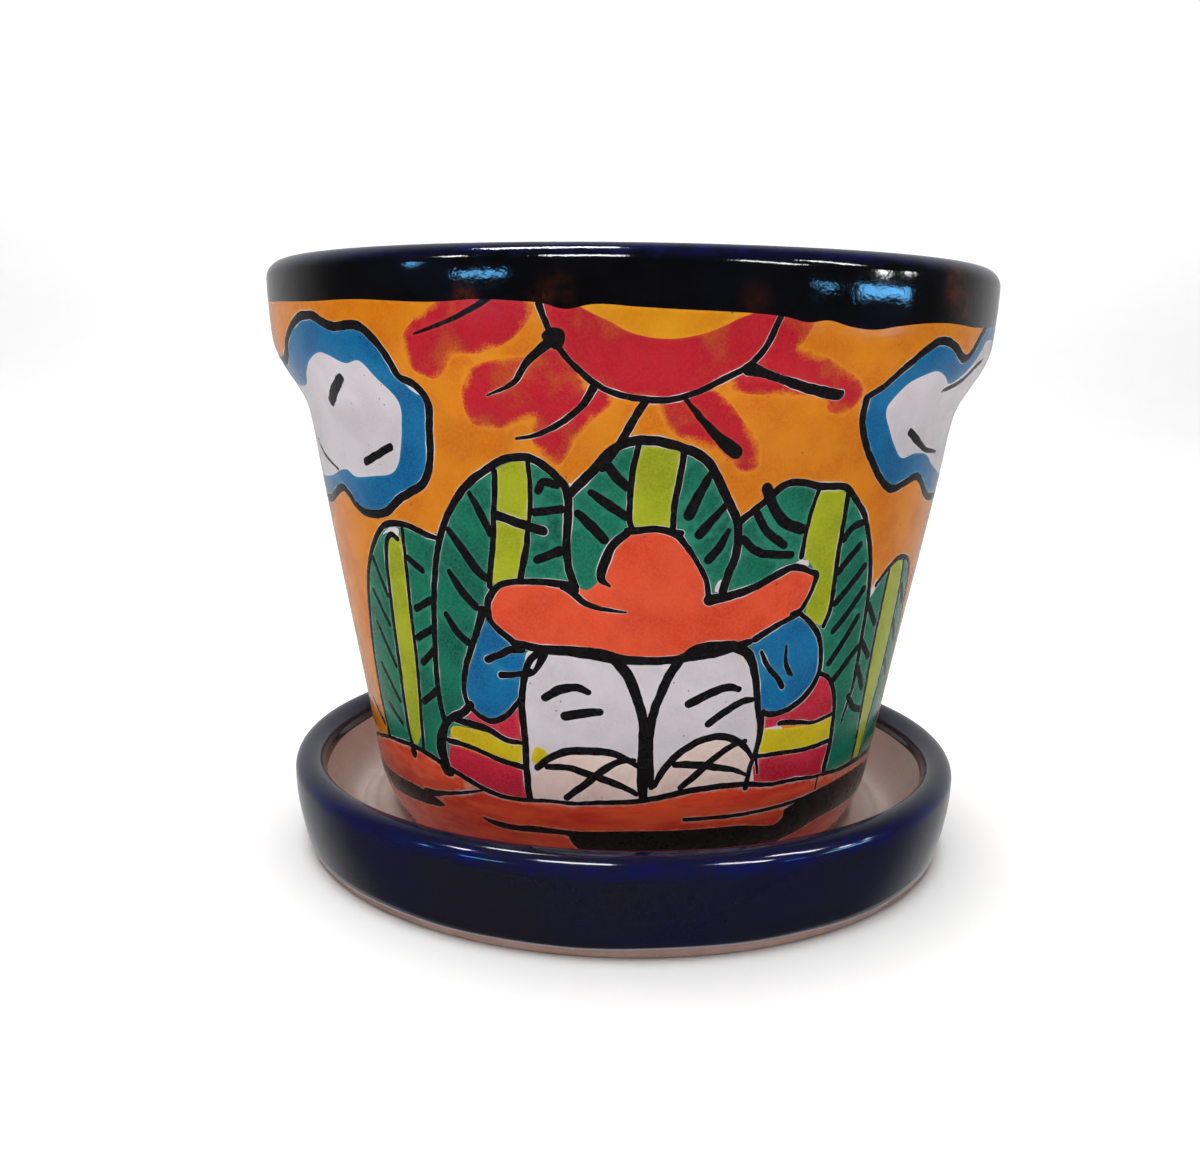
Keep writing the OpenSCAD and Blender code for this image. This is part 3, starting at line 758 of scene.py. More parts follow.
def grid():
    """Points spread evenly over the unrolled skin."""
    levels = np.concatenate([np.arange(POT_FOOT + 1.5, LIP_Z - 1, GRID_V),
                             np.arange(LIP_Z, LIP_Z + LIP_ARC, GRID_LIP),
                             np.arange(LIP_Z + LIP_ARC + 0.5, BAND_END - 3.5, GRID_V)])
    rows = []
    for i, level in enumerate(levels):
        shift = GRID_A / 2 * (i % 2)
        a = np.arange(START + shift, SEAM + 0.01, GRID_A)
        a = np.unique(np.concatenate([[START], a, [SEAM]]))
        rows.append(np.stack([a, np.full_like(a, level)], 1))
    return np.vstack(rows)


def inside(outline, points):
    """Which points lie in the outline, by its winding number."""
    result = np.zeros(len(points), bool)
    low, high = outline.min(0), outline.max(0)
    near = np.where(((points > low) & (points < high)).all(1))[0]
    x, y = points[near].T
    winding = np.zeros(len(near), int)
    for (x0, y0), (x1, y1) in zip(outline, np.roll(outline, -1, 0)):
        left = (x1 - x0) * (y - y0) - (x - x0) * (y1 - y0)
        winding += (y0 <= y) & (y < y1) & (left > 0)
        winding -= (y1 <= y) & (y < y0) & (left < 0)
    result[near] = winding != 0
    return result


def cut(drawing):
    """Cuts the drawing into triangles. Returns their corners' places on the skin, the triangles,
    and the paint of each."""
    drawing.areas.sort(key=lambda area: area[0])
    paints = sorted({paint for _, paint, _ in drawing.areas} | {"orange"})
    places = []
    edges = []
    count = 0
    for _, _, outline in drawing.areas:
        n = len(outline)
        edges += [(count + i, count + (i + 1) % n) for i in range(n)]
        places.append(outline)
        count += n
    seam = ROUND[(ROUND >= START) & (ROUND <= SEAM)]
    for line in (foot_edge, inner_edge):
        places.append(np.stack([seam, line(seam)], 1))
        edges += [(count + i, count + i + 1) for i in range(len(seam) - 1)]
        count += len(seam)
    for a in (START, SEAM):
        places.append(np.array([(a, 0), (a, ABOVE_ALL)], float))
        edges.append((count, count + 1))
        count += 2
    places.append(grid())
    places += drawing.points
    flat = np.vstack(places) * (ACROSS, 1)
    found = delaunay_2d_cdt([Vector(p) for p in flat.tolist()], edges, [], 0, CUT_NEAR, False)
    corners = np.array([(p.x, p.y) for p in found[0]]) / (ACROSS, 1)
    faces = np.array(found[2])
    centre = corners[faces].mean(1)
    paint = np.full(len(faces), paints.index("orange"))
    for _, name, outline in drawing.areas:
        paint[inside(outline, centre)] = paints.index(name)
    kept = (centre[:, 0] > START) & (centre[:, 0] < SEAM)
    kept &= (centre[:, 1] > foot_edge(centre[:, 0])) & (centre[:, 1] < inner_edge(centre[:, 0]))
    return corners, faces[kept], paint[kept], paints


def joined(corners, faces):
    """Makes the two ends of the unrolled skin share their points. Also says which triangles are
    still whole."""
    angle = np.where(np.abs(corners[:, 0] - SEAM) < CUT_NEAR, START, corners[:, 0])
    key = np.round(np.stack([angle, corners[:, 1]], 1), 4)
    _, first, same = np.unique(key, axis=0, return_index=True, return_inverse=True)
    faces = same.reshape(-1)[faces]
    whole = (faces != np.roll(faces, 1, 1)).all(1)
    return corners[first], faces, whole


def border_edges(faces, paint, wanted=None):
    """Corners on edges where the paint changes: any change, or only from one paint to another."""
    pairs = np.sort(np.concatenate([faces[:, [0, 1]], faces[:, [1, 2]], faces[:, [2, 0]]]), 1)
    owner = np.tile(np.arange(len(faces)), 3)
    order = np.lexsort((pairs[:, 1], pairs[:, 0]))
    pairs, owner = pairs[order], owner[order]
    same = (pairs[1:] == pairs[:-1]).all(1)
    one, two = paint[owner[:-1][same]], paint[owner[1:][same]]
    change = one != two
    if wanted:
        change &= np.isin(one, wanted) & np.isin(two, wanted)
    corners = set(pairs[:-1][same][change].ravel().tolist())
    if not wanted:
        single = np.ones(len(pairs), bool)
        single[1:][same] = False
        single[:-1][same] = False
        corners |= set(pairs[single].ravel().tolist())
    return np.array(sorted(corners))


def distances(points, chosen):
    """Distance of each point from the nearest of the chosen ones."""
    tree = KDTree(len(chosen))
    for i in chosen:
        tree.insert(points[i], int(i))
    tree.balance()
    return np.array([tree.find(p)[2] for p in points])


def slope_of(height, corners, faces):
    """How steeply a height over the skin rises to the right and upwards, at each corner."""
    flat = corners * np.stack([degree(corners[:, 1]), np.ones(len(corners))], 1)
    flat = flat[faces]
    one, two = flat[:, 1] - flat[:, 0], flat[:, 2] - flat[:, 0]
    area = one[:, 0] * two[:, 1] - one[:, 1] * two[:, 0]
    rise_one = height[faces[:, 1]] - height[faces[:, 0]]
    rise_two = height[faces[:, 2]] - height[faces[:, 0]]
    right = rise_one * two[:, 1] - rise_two * one[:, 1]
    up = rise_two * one[:, 0] - rise_one * two[:, 0]
    total = np.zeros((len(corners), 3))
    for i in range(3):
        np.add.at(total, faces[:, i], np.stack([right, up, area], 1))
    return np.clip(total[:, :2] / np.maximum(total[:, 2:], 1e-4), -STEEPEST, STEEPEST)


STEEPEST = 0.12                 # steepest slope that shading gives a coat's edge
COAT = 0.42                     # thickness of the painted coats
RAISED = {"ink": 0.07, "white": 0.02, "orange": 0.04}    # how far a paint stands up from its edge
RAISED_ELSE = 0.05
ROUNDING = 0.5                  # distance from the edge at which it reaches about two thirds


def make_mesh(name, points, faces, attributes=()):
    """A smooth-shaded object in metres."""
    mesh = bpy.data.meshes.new(name)
    mesh.from_pydata((np.asarray(points) * MM).tolist(), [], faces)
    for label, values in attributes:
        held = mesh.attributes.new(label, "FLOAT", "POINT")
        held.data.foreach_set("value", np.asarray(values, np.float32))
    mesh.shade_smooth()
    piece = bpy.data.objects.new(name, mesh)
    bpy.context.scene.collection.objects.link(piece)
    return piece


def coat(name, faces, outer, inner, normals, attributes):
    """A thin closed coat: its outer side, its inner side and a wall along its edge."""
    used, faces = np.unique(faces, return_inverse=True)
    faces = faces.reshape(-1, 3)
    n = len(used)
    directed = np.concatenate([faces[:, [0, 1]], faces[:, [1, 2]], faces[:, [2, 0]]])
    code = directed[:, 0] * n + directed[:, 1]
    back = directed[:, 1] * n + directed[:, 0]
    rim = directed[~np.isin(code, back)]
    walls = np.concatenate([np.stack([rim[:, 1], rim[:, 0], rim[:, 0] + n], 1),
                            np.stack([rim[:, 1], rim[:, 0] + n, rim[:, 1] + n], 1)])
    every = np.concatenate([faces, faces[:, ::-1] + n, walls])
    points = np.concatenate([outer[used], inner[used]])
    values = [(label, np.tile(v[used], 2)) for label, v in attributes]
    piece = make_mesh(name, points, every.tolist(), values)
    loops = np.concatenate([normals[used], -normals[used]])[every]
    sides = points[walls]
    flat = np.cross(sides[:, 1] - sides[:, 0], sides[:, 2] - sides[:, 0])
    flat /= np.linalg.norm(flat, axis=1, keepdims=True) + 1e-12
    loops[len(faces) * 2:] = flat[:, None]
    piece.data.normals_split_custom_set(loops.reshape(-1, 3).tolist())
    return piece


def paint_pot():
    """Draws, cuts and wraps the painted skin. Returns its coats by the name of their paint."""
    drawing = Drawing()
    for draw in (draw_sun, draw_clouds, draw_left_cacti, draw_right_cacti, draw_middle_cactus,
                 draw_sleeves, draw_serape, draw_legs, draw_hat, draw_back, draw_ground,
                 draw_band):
        draw(drawing)
    corners, faces, paint, paints = cut(drawing)
    corners, faces, whole = joined(corners, faces)
    faces, paint = faces[whole], paint[whole]
    a, v = corners.T
    places = on_skin(a, v)
    edge = distances(places, border_edges(faces, paint))
    sky = [paints.index("orange"), paints.index("crimson")]
    fade = distances(places, border_edges(faces, paint, sky))
    lift = np.zeros(len(corners))
    for i, name in enumerate(paints):
        lift[faces[paint == i]] = RAISED.get(name, RAISED_ELSE)
    lift *= 1 - np.exp(-edge / ROUNDING)
    right, up, out = skin_axes(a, v)
    slope = slope_of(lift, corners, faces)
    normals = out - right * slope[:, :1] - up * slope[:, 1:]
    normals /= np.linalg.norm(normals, axis=1, keepdims=True)
    outer = places + out * lift[:, None]
    inner = places - out * COAT
    attributes = [("edge", edge), ("fade", fade)]
    return {name: coat("paint_" + name, faces[paint == i], outer, inner, normals, attributes)
            for i, name in enumerate(paints)}


# ---- Turned clay and the saucer's glazes ----------------------------------------------------

TURNS = 240                     # points round a turned piece


def turned(name, section, closed=True):
    """A turned piece. section(angle) gives its outline as (radius, height) points: a closed loop,
    or else a line from the axis out and back to the axis. Its "along" attribute is the way along
    the outline."""
    angles = np.arange(TURNS) * 360 / TURNS
    outlines = np.array([section(a) for a in angles])
    poles = outlines[0, [0, -1]]
    if not closed:
        outlines = outlines[:, 1:-1]
    pace = np.hypot(*np.diff(outlines, axis=1).T)
    along = np.vstack([np.zeros(TURNS), np.cumsum(pace, 0)]).T.ravel()
    turn = np.radians(angles)[:, None]
    r, z = outlines[..., 0], outlines[..., 1]
    points = np.stack([r * np.sin(turn), -r * np.cos(turn), z], -1)
    n = points.shape[1]
    i = np.arange(TURNS)[:, None]
    j = np.arange(n if closed else n - 1)[None]
    i2, j2 = (i + 1) % TURNS, (j + 1) % n
    faces = np.stack([i * n + j, i2 * n + j, i2 * n + j2, i * n + j2], -1).reshape(-1, 4).tolist()
    points = points.reshape(-1, 3)
    if not closed:
        first, last = len(points), len(points) + 1
        points = np.vstack([points, [(0, 0, z) for _, z in poles]])
        along = np.append(along, [0, 0])
        for k in range(TURNS):
            after = (k + 1) % TURNS
            faces.append((first, after * n, k * n))
            faces.append((last, k * n + n - 1, after * n + n - 1))
    return make_mesh(name, points, faces, [("along", along)])


def steps(start, end, count):
    """Evenly spaced values from start to end, count steps apart."""
    return np.linspace(start, end, count + 1)


CLAY_UNDER = 0.4                # how far the clay lies under the glazed side
GLAZE_BACK = CLAY_UNDER + 0.05  # how deep the saucer's glazes go, a little into the clay
DRAIN_R = min(rings("pot_body", np.min)[1])
POT_FLOOR = 8                   # thickness of the pot's floor
INNER_FLOOR = POT_FOOT + POT_FLOOR
HOLLOW = 8                      # radius of the corner between the inner wall and the floor
FOOT_RING = 3                   # width of the ring that the pot stands on,
FOOT_SLOPE = 6                  # how far in the hollow underside is at its full depth,
FOOT_LIFT = 0.5                 # and that depth
BEVEL = 0.8                     # of the foot's outer edge, and the height of the drain hole's,
DRAIN_BEVEL = 0.6               # which is this wide
DRAIN_ROUND = 1.2               # rounding of the drain hole's upper edge
RINGS_START = 14                # how far below the lip the throwing rings inside begin
RING_DEPTH = 0.1                # their depth on the wall,
FLOOR_RING_DEPTH = 0.2          # and on the inner floor


def pot_clay_section(a):
    """Outline of the pot's clay, as a loop from the drain hole out, up, over and down inside."""
    foot_r = POT_R(POT_FOOT) - CLAY_UNDER
    hollow_z = POT_FOOT + FOOT_LIFT
    under = [(DRAIN_R + DRAIN_BEVEL, POT_FOOT), (DRAIN_R + FOOT_SLOPE, hollow_z),
             (foot_r - FOOT_SLOPE, hollow_z), (foot_r - FOOT_RING, POT_FOOT),
             (foot_r - BEVEL, POT_FOOT)]
    r, z = path(steps(hollow_z, LIP_Z, 60))
    side = np.stack([r - CLAY_UNDER + out_of_round(a, z), z], 1)
    arc = steps(0, math.pi, 12)[1:-1]
    z = LIP_Z + (LIP_ROUND - CLAY_UNDER) * np.sin(arc)
    r = POT_R(LIP_Z) - LIP_ROUND + (LIP_ROUND - CLAY_UNDER) * np.cos(arc)
    lip = np.stack([r + out_of_round(a, z), z], 1)
    z = steps(LIP_Z, INNER_FLOOR + HOLLOW, 90)
    rings_in = (RING_DEPTH * np.sin(z * 1.15 + 2 * np.sin(z * 0.13) + np.radians(a))
                * np.clip((LIP_Z - RINGS_START - z) / 6, 0, 1))
    wall = np.stack([POT_R(z) - WALL + CLAY_UNDER + out_of_round(a, z) + rings_in, z], 1)
    turn = steps(0, math.pi / 2, 8)[1:]
    corner_r = POT_R(INNER_FLOOR) - WALL - HOLLOW
    corner_z = INNER_FLOOR + HOLLOW * (1 - np.sin(turn))
    corner = np.stack([corner_r + HOLLOW * np.cos(turn), corner_z], 1)
    r = steps(corner_r, DRAIN_R + DRAIN_ROUND, 24)[1:]
    floor_z = INNER_FLOOR + FLOOR_RING_DEPTH * np.sin(r * 0.9 + np.radians(a))
    floor = np.stack([r, floor_z], 1)
    hole = [(DRAIN_R, INNER_FLOOR - DRAIN_ROUND), (DRAIN_R, POT_FOOT + BEVEL)]
    return np.vstack([under, side, lip, wall, corner, floor, hole])


SAUCER_SIDE = rings("saucer_body", np.max)
SAUCER_RINGS = rings("saucer_rim_glaze", np.max, least=SAUCER_SIDE[1][0])
SAUCER_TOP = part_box("saucer_rim_glaze")[1].z / MM
SAUCER_FLOOR = POT_FOOT                    # the pot stands on the glazed floor
FLOOR_RINGS = rings("saucer_floor_glaze", np.max)
FLOOR_R = FLOOR_RINGS[1][np.argmin(np.abs(FLOOR_RINGS[0] - SAUCER_FLOOR))]
SAUCER_R = max(SAUCER_RINGS[1])
RIM = 6.5                                  # thickness of the saucer's rim
SAUCER_LIP_Z = SAUCER_TOP - RIM / 2
SAUCER_OUT = side_line(merged((SAUCER_SIDE[0][:1], SAUCER_SIDE[1][:1]), SAUCER_RINGS),
                       SAUCER_LIP_Z)
SAUCER_BAND = rings("saucer_rim_glaze", np.min, least=SAUCER_R - RIM - 6)
SAUCER_BAND_Z = SAUCER_BAND[0][SAUCER_BAND[1] < SAUCER_R - RIM][0]     # its end on the inside,
BAND_FALL = (SAUCER_LIP_Z - SAUCER_BAND_Z) / (SAUCER_LIP_Z - SAUCER_FLOOR)  # and share of the drop
saucer_foot_edge = wavy_line(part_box("saucer_rim_glaze")[0].z / MM + 0.1, 0.2)
saucer_inner_edge = wavy_line(math.asin(BAND_FALL) * 2 / math.pi, 0.015)   # way down the hollow


GROOVE = ((9, 0), (7.5, 0.4), (6, 0))      # turned under the saucer: way in from its edge, height
SAUCER_BEVEL = 0.7              # of its lower edge
BARE = 0.1                      # share of its outer side that is bare clay,
BARE_INSET = 0.1                # and how far that lies in
COBALT_EDGE = 0.02              # how far the cobalt stands out at its ends,
COBALT_PROUD = 0.1              # and how much more elsewhere
SAUCER_RING_DEPTH = 0.22        # depth of the throwing rings in its floor
FLOOR_UNDER = 0.06              # how far the pale coat goes on under the cobalt


def saucer_path(a, s, inset=0.0):
    """Points of the saucer's upper surface: s runs from 0 at the foot to 1 at the top of the
    outer side, to 2 over the rim, and to 3 down the hollow to the flat floor."""
    s = np.asarray(s, float)
    side = np.clip(s, 0, 1)
    over = np.clip(s - 1, 0, 1) * math.pi
    hollow = np.clip(s - 2, 0, 1)
    z_out = side * SAUCER_LIP_Z
    r_out = SAUCER_OUT(z_out)
    r_over = SAUCER_R - RIM / 2 + (RIM / 2) * np.cos(over)
    z_over = SAUCER_LIP_Z + RIM / 2 * np.sin(over)
    fall = hollow * math.pi / 2
    r_in = SAUCER_R - RIM + (FLOOR_R - SAUCER_R + RIM) * hollow
    z_in = SAUCER_LIP_Z + (SAUCER_FLOOR - SAUCER_LIP_Z) * np.sin(fall)
    r = np.where(s <= 1, r_out, np.where(s <= 2, r_over, r_in))
    z = np.where(s <= 1, z_out, np.where(s <= 2, z_over, z_in))
    nr = np.where(s <= 1, 1, np.where(s <= 2, np.cos(over), -np.cos(fall)))
    nz = np.where(s <= 1, 0, np.where(s <= 2, np.sin(over), np.sin(fall)))
    lift = waves(RIM_WAVES, a) * np.clip(z / SAUCER_TOP, 0, 1)     # the rim isn't quite flat
    return np.stack([r - nr * inset, z - nz * inset + lift], -1)


def floor_height(r, a):
    """The saucer's floor, with the rings that its throwing left round the pot."""
    outside = np.clip((r - POT_R(POT_FOOT) - 3) / 3, 0, 1)
    return SAUCER_FLOOR + outside * SAUCER_RING_DEPTH * np.sin(r * 1.7 + np.radians(a))


def saucer_clay_section(a):
    """Outline of the saucer's clay, from the axis out under it, up, over the rim and back in."""
    r0 = SAUCER_OUT(0)
    under = [(0, 0)] + [(r0 - way, z) for way, z in GROOVE] + [(r0 - SAUCER_BEVEL, 0)]
    s = np.concatenate([steps(0.04, 1, 12), steps(1, 2, 12)[1:], steps(2, 3, 12)[1:]])
    inset = np.where(s < BARE, BARE_INSET, CLAY_UNDER)
    top = saucer_path(a, s, inset)
    floor = [(FLOOR_R * 0.7, SAUCER_FLOOR - CLAY_UNDER), (0, SAUCER_FLOOR - CLAY_UNDER)]
    return np.vstack([under, top, floor])


def saucer_cobalt_section(a):
    """Outline of the cobalt coat, thin at both ends, as a loop up the outside and back."""
    start = saucer_foot_edge(a) / SAUCER_LIP_Z
    end = 2 + saucer_inner_edge(a)
    s = np.concatenate([steps(start, 1, 10), steps(1, 2, 16)[1:], steps(2, end, 10)[1:]])
    along = np.minimum(np.arange(len(s)), np.arange(len(s))[::-1])
    proud = -COBALT_EDGE - COBALT_PROUD * (1 - np.exp(-along / 1.2))
    return np.vstack([saucer_path(a, s, proud), saucer_path(a, s, GLAZE_BACK)[::-1]])


def saucer_floor_section(a):
    """Outline of the pale coat, from the axis out on its underside and back on its top."""
    start = 2 + saucer_inner_edge(a) - FLOOR_UNDER
    back = saucer_path(a, steps(3, start, 14), GLAZE_BACK)
    side = saucer_path(a, steps(start, 3, 14))
    r = np.concatenate([steps(FLOOR_R, POT_R(POT_FOOT), 30)[1:], [40, 20, 0]])
    floor = np.stack([r, floor_height(r, a)], 1)
    return np.vstack([[(0, SAUCER_FLOOR - GLAZE_BACK)], back, side, floor])


# ---- Materials ------------------------------------------------------------------------------

def rgb(r, g, b):
    """A display colour from 0 to 255 as the linear colour that a shader takes."""
    def linear(c):
        c = c / 255
        return c / 12.92 if c <= 0.04045 else ((c + 0.055) / 1.055) ** 2.4
    return linear(r), linear(g), linear(b), 1


class Shader:
    """Builds one material's nodes. An input is a value, or another node's output."""

    def __init__(self, name):
        self.material = bpy.data.materials.new(name)
        self.material.use_nodes = True
        self.tree = self.material.node_tree
        self.tree.nodes.clear()
        place = self.node("TexCoord").outputs["Object"]
        self.mm = self.node("VectorMath", {"operation": "SCALE"}, i0=place,
                            Scale=1 / MM).outputs[0]    # the piece's own place, in millimetres

    def node(self, kind, settings=(), **inputs):
        """A node. An input goes by its name, or by i and its number."""
        made = self.tree.nodes.new("ShaderNode" + kind)
        for key, value in dict(settings).items():
            setattr(made, key, value)
        for key, value in inputs.items():
            key = int(key[1:]) if key[0] == "i" and key[1:].isdigit() else key.replace("_", " ")
            socket = made.inputs[key]
            if isinstance(value, bpy.types.NodeSocket):
                self.tree.links.new(value, socket)
            else:
                socket.default_value = value
        return made

    def noise(self, size, detail=3, rough=0.5, stretch=None):
        """Noise from 0 to 1, with bumps of about the given size in millimetres."""
        place = self.mm
        if stretch:
            place = self.node("VectorMath", {"operation": "MULTIPLY"}, i0=place, i1=stretch)
            place = place.outputs[0]
        made = self.node("TexNoise", Vector=place, Scale=1 / size, Detail=detail, Roughness=rough)
        return made.outputs["Fac"]

    def ramp(self, value, low, high, start=0.0, end=1.0):
        """Maps low..high to start..end, with soft ends and no overshoot."""
        made = self.node("MapRange", {"interpolation_type": "SMOOTHSTEP"}, Value=value,
                         From_Min=low, From_Max=high, To_Min=start, To_Max=end)
        return made.outputs[0]

    def math(self, operation, a, b=0.0):
        return self.node("Math", {"operation": operation}, i0=a, i1=b).outputs[0]

    def mix(self, factor, a, b):
        """From colour a to colour b."""
        return self.node("Mix", {"data_type": "RGBA"}, i0=factor, i6=a, i7=b).outputs[2]

    def patches(self, colour, other, noise, ramp):
        """The colour with another one in patches, where a noise is high on a ramp. Both are
        given by their arguments."""
        return self.mix(self.ramp(self.noise(*noise), *ramp), colour, rgb(*other))

    def attribute(self, name):
        return self.node("Attribute", {"attribute_name": name}).outputs["Fac"]

    def bump(self, height, depth, **under):
        """A normal from a height from 0 to 1 that stands for that many millimetres, and from the
        Normal under it, if one is given."""
        return self.node("Bump", Height=height, Strength=1.0, Distance=depth * MM,
                         **under).outputs[0]

    def height(self):
        """Height above the table, in millimetres."""
        return self.node("SeparateXYZ", Vector=self.mm).outputs["Z"]

    def finish(self, **inputs):
        """The finished material, with these inputs of its surface."""
        surface = self.node("BsdfPrincipled", **inputs)
        out = self.node("OutputMaterial")
        self.tree.links.new(surface.outputs[0], out.inputs[0])
        return self.material


SKY = dict(main=(215, 126, 15), deep=(202, 106, 9), pale=(220, 140, 30))
CRIMSON = dict(main=(182, 21, 40), deep=(164, 15, 36), pale=(198, 52, 50))
PAINTS = {
    "orange": SKY,
    "gold": dict(main=(219, 146, 13), deep=(208, 128, 8), pale=(226, 158, 30)),
    "green": dict(main=(17, 106, 80), deep=(10, 83, 65), pale=(50, 138, 111)),
    "lime": dict(main=(158, 168, 22), deep=(136, 150, 15), pale=(184, 184, 54)),
    "red": dict(main=(188, 30, 54), deep=(162, 18, 40), pale=(206, 68, 82)),
    "hat": dict(main=(220, 76, 43), deep=(203, 58, 30), pale=(230, 98, 60)),
    "blue": dict(main=(4, 101, 153), deep=(2, 82, 135), pale=(40, 127, 168)),
    "yellow": dict(main=(202, 179, 9), deep=(187, 161, 6), pale=(214, 194, 42)),
    "white": dict(main=(207, 199, 204), deep=(195, 187, 191), pale=(214, 207, 210)),
    "cream": dict(main=(226, 202, 192), deep=(214, 184, 172), pale=(232, 214, 206)),
}


def paint_colour(s, main, deep, pale):
    """A hand-laid coat: cloudy where it lies thicker or thinner, grainy close up, and paler where
    it thins out at its edge."""
    colour = s.patches(rgb(*main), deep, (9, 3), (0.35, 0.68))
    colour = s.patches(colour, pale, (0.45, 2), (0.3, 0.72, 0, 0.35))
    edge = s.attribute("edge")
    near = s.ramp(s.math("ADD", edge, s.noise(1.6, 2)), 0.45, 1.2, 1, 0)
    return s.mix(s.math("MULTIPLY", near, 0.55), colour, rgb(*pale))


def specks(s, colour, dark):
    """Scattered pinholes and specks."""
    dots = s.node("TexVoronoi", Vector=s.mm, Scale=0.35, Randomness=1.0).outputs["Distance"]
    chosen = s.math("MULTIPLY", s.ramp(dots, 0.05, 0.09, 1, 0), s.ramp(s.noise(14, 1), 0.52, 0.56))
    return s.mix(s.math("MULTIPLY", chosen, 0.7), colour, dark)


def glaze_bump(s, depth=0.03):
    """The slight unevenness of a fired glaze."""
    swell = s.bump(s.noise(7, 2), depth * 2.5)
    return s.bump(s.noise(1.1, 2), depth * 0.35, Normal=swell)


def glazed(s, colour, roughness=0.16, bump=None, **more):
    """A finished glaze, whose roughness varies a little round the given one."""
    if "Roughness" not in more:
        more["Roughness"] = s.ramp(s.noise(3, 3), 0.3, 0.7, roughness * 0.8, roughness * 1.3)
    return s.finish(Base_Color=colour, IOR=1.45, Normal=bump or glaze_bump(s), **more)


def paint_material(name):
    """One of the brushed paints, with specks."""
    s = Shader("glaze_" + name)
    return glazed(s, specks(s, paint_colour(s, **PAINTS[name]), rgb(40, 34, 30)))


def crimson_material():
    """A thin wash of red over the sky's orange, which fades and breaks up at its edge."""
    s = Shader("glaze_crimson")
    sky = paint_colour(s, **SKY)
    red = paint_colour(s, **CRIMSON)
    grain = s.ramp(s.noise(0.42, 2, 0.6), 0.3, 0.7, -0.4, 0.4)
    patch = s.ramp(s.noise(3.6, 3), 0.3, 0.7, -0.5, 0.9)
    depth = s.math("ADD", s.math("ADD", s.attribute("fade"), patch), grain)
    cover = s.ramp(depth, -0.5, 1.5)
    worn = s.math("ADD", s.noise(9, 2), s.ramp(s.noise(0.5, 2), 0.3, 0.7, -0.03, 0.03))
    thin = s.ramp(worn, 0.5, 0.7, 1, 0.72)
    colour = s.mix(s.math("MULTIPLY", cover, thin), sky, red)
    return glazed(s, colour)


def ink_material():
    """Black line glaze, a little grey where the brush ran dry."""
    s = Shader("glaze_ink")
    colour = s.patches(rgb(21, 18, 20), (48, 44, 44), (0.8, 4, 0.7), (0.56, 0.74, 0, 0.5))
    return glazed(s, colour, 0.25, Specular_IOR_Level=0.25)


def terracotta_material():
    """Red-brown slip glaze in loose horizontal strokes."""
    s = Shader("glaze_terracotta")
    colour = s.patches(rgb(232, 84, 50), (206, 54, 38), (3.2, 4, 0.6, (0.25, 0.25, 1)),
                       (0.34, 0.66))
    colour = s.patches(colour, (238, 128, 82), (5, 3, 0.5, (0.3, 0.3, 1)), (0.58, 0.74, 0, 0.6))
    edge = s.attribute("edge")
    near = s.ramp(s.math("ADD", edge, s.noise(1.6, 2)), 0.4, 1.1, 0.5, 0)
    return glazed(s, s.mix(near, colour, rgb(218, 168, 140)))


# Stains in the cobalt, where the sky's glaze has run into it: angle, height, size, strength
STAINS = ((-22, 123.8, 3.6, 0.9), (-10, 124.5, 5, 0.4), (-12.5, 123, 3, 0.6),
          (14, 123.5, 4.5, 0.4), (47, 127.5, 6, 1.6), (50, 124, 4, 1), (-120, 124, 6, 0.6),
          (160, 126, 6, 0.6))


def pot_cobalt_material():
    """Cobalt glaze: near black, blue only where it runs thin over the lip, and brown in places."""
    s = Shader("cobalt_pot")
    colour = s.patches(rgb(3, 3, 5), (7, 8, 18), (12, 3, 0.6, (0.6, 0.6, 1)), (0.38, 0.68))
    ragged = s.math("ADD", s.height(), s.ramp(s.noise(3, 4, 0.6), 0.3, 0.7, -0.5, 0.5))
    lip = s.ramp(ragged, POT_TOP - 3.0, POT_TOP - 0.8)
    thin = s.patches(rgb(8, 9, 36), (13, 15, 60), (5, 4, 0.6), (0.35, 0.65))
    colour = s.mix(lip, colour, thin)
    stain = s.ramp(s.noise(1.8, 4, 0.7), 0.35, 0.7)
    for angle, z, size, strength in STAINS:
        place = on_skin(angle, z).tolist()
        apart = s.node("VectorMath", {"operation": "DISTANCE"}, i0=s.mm, i1=place).outputs["Value"]
        near = s.ramp(apart, size * 0.3, size, strength, 0)
        colour = s.mix(s.math("MULTIPLY", near, stain), colour, rgb(66, 30, 16))
    ripple = s.bump(s.noise(0.5, 2), 0.012, Normal=glaze_bump(s, 0.035))
    return glazed(s, colour, 0.07, ripple)


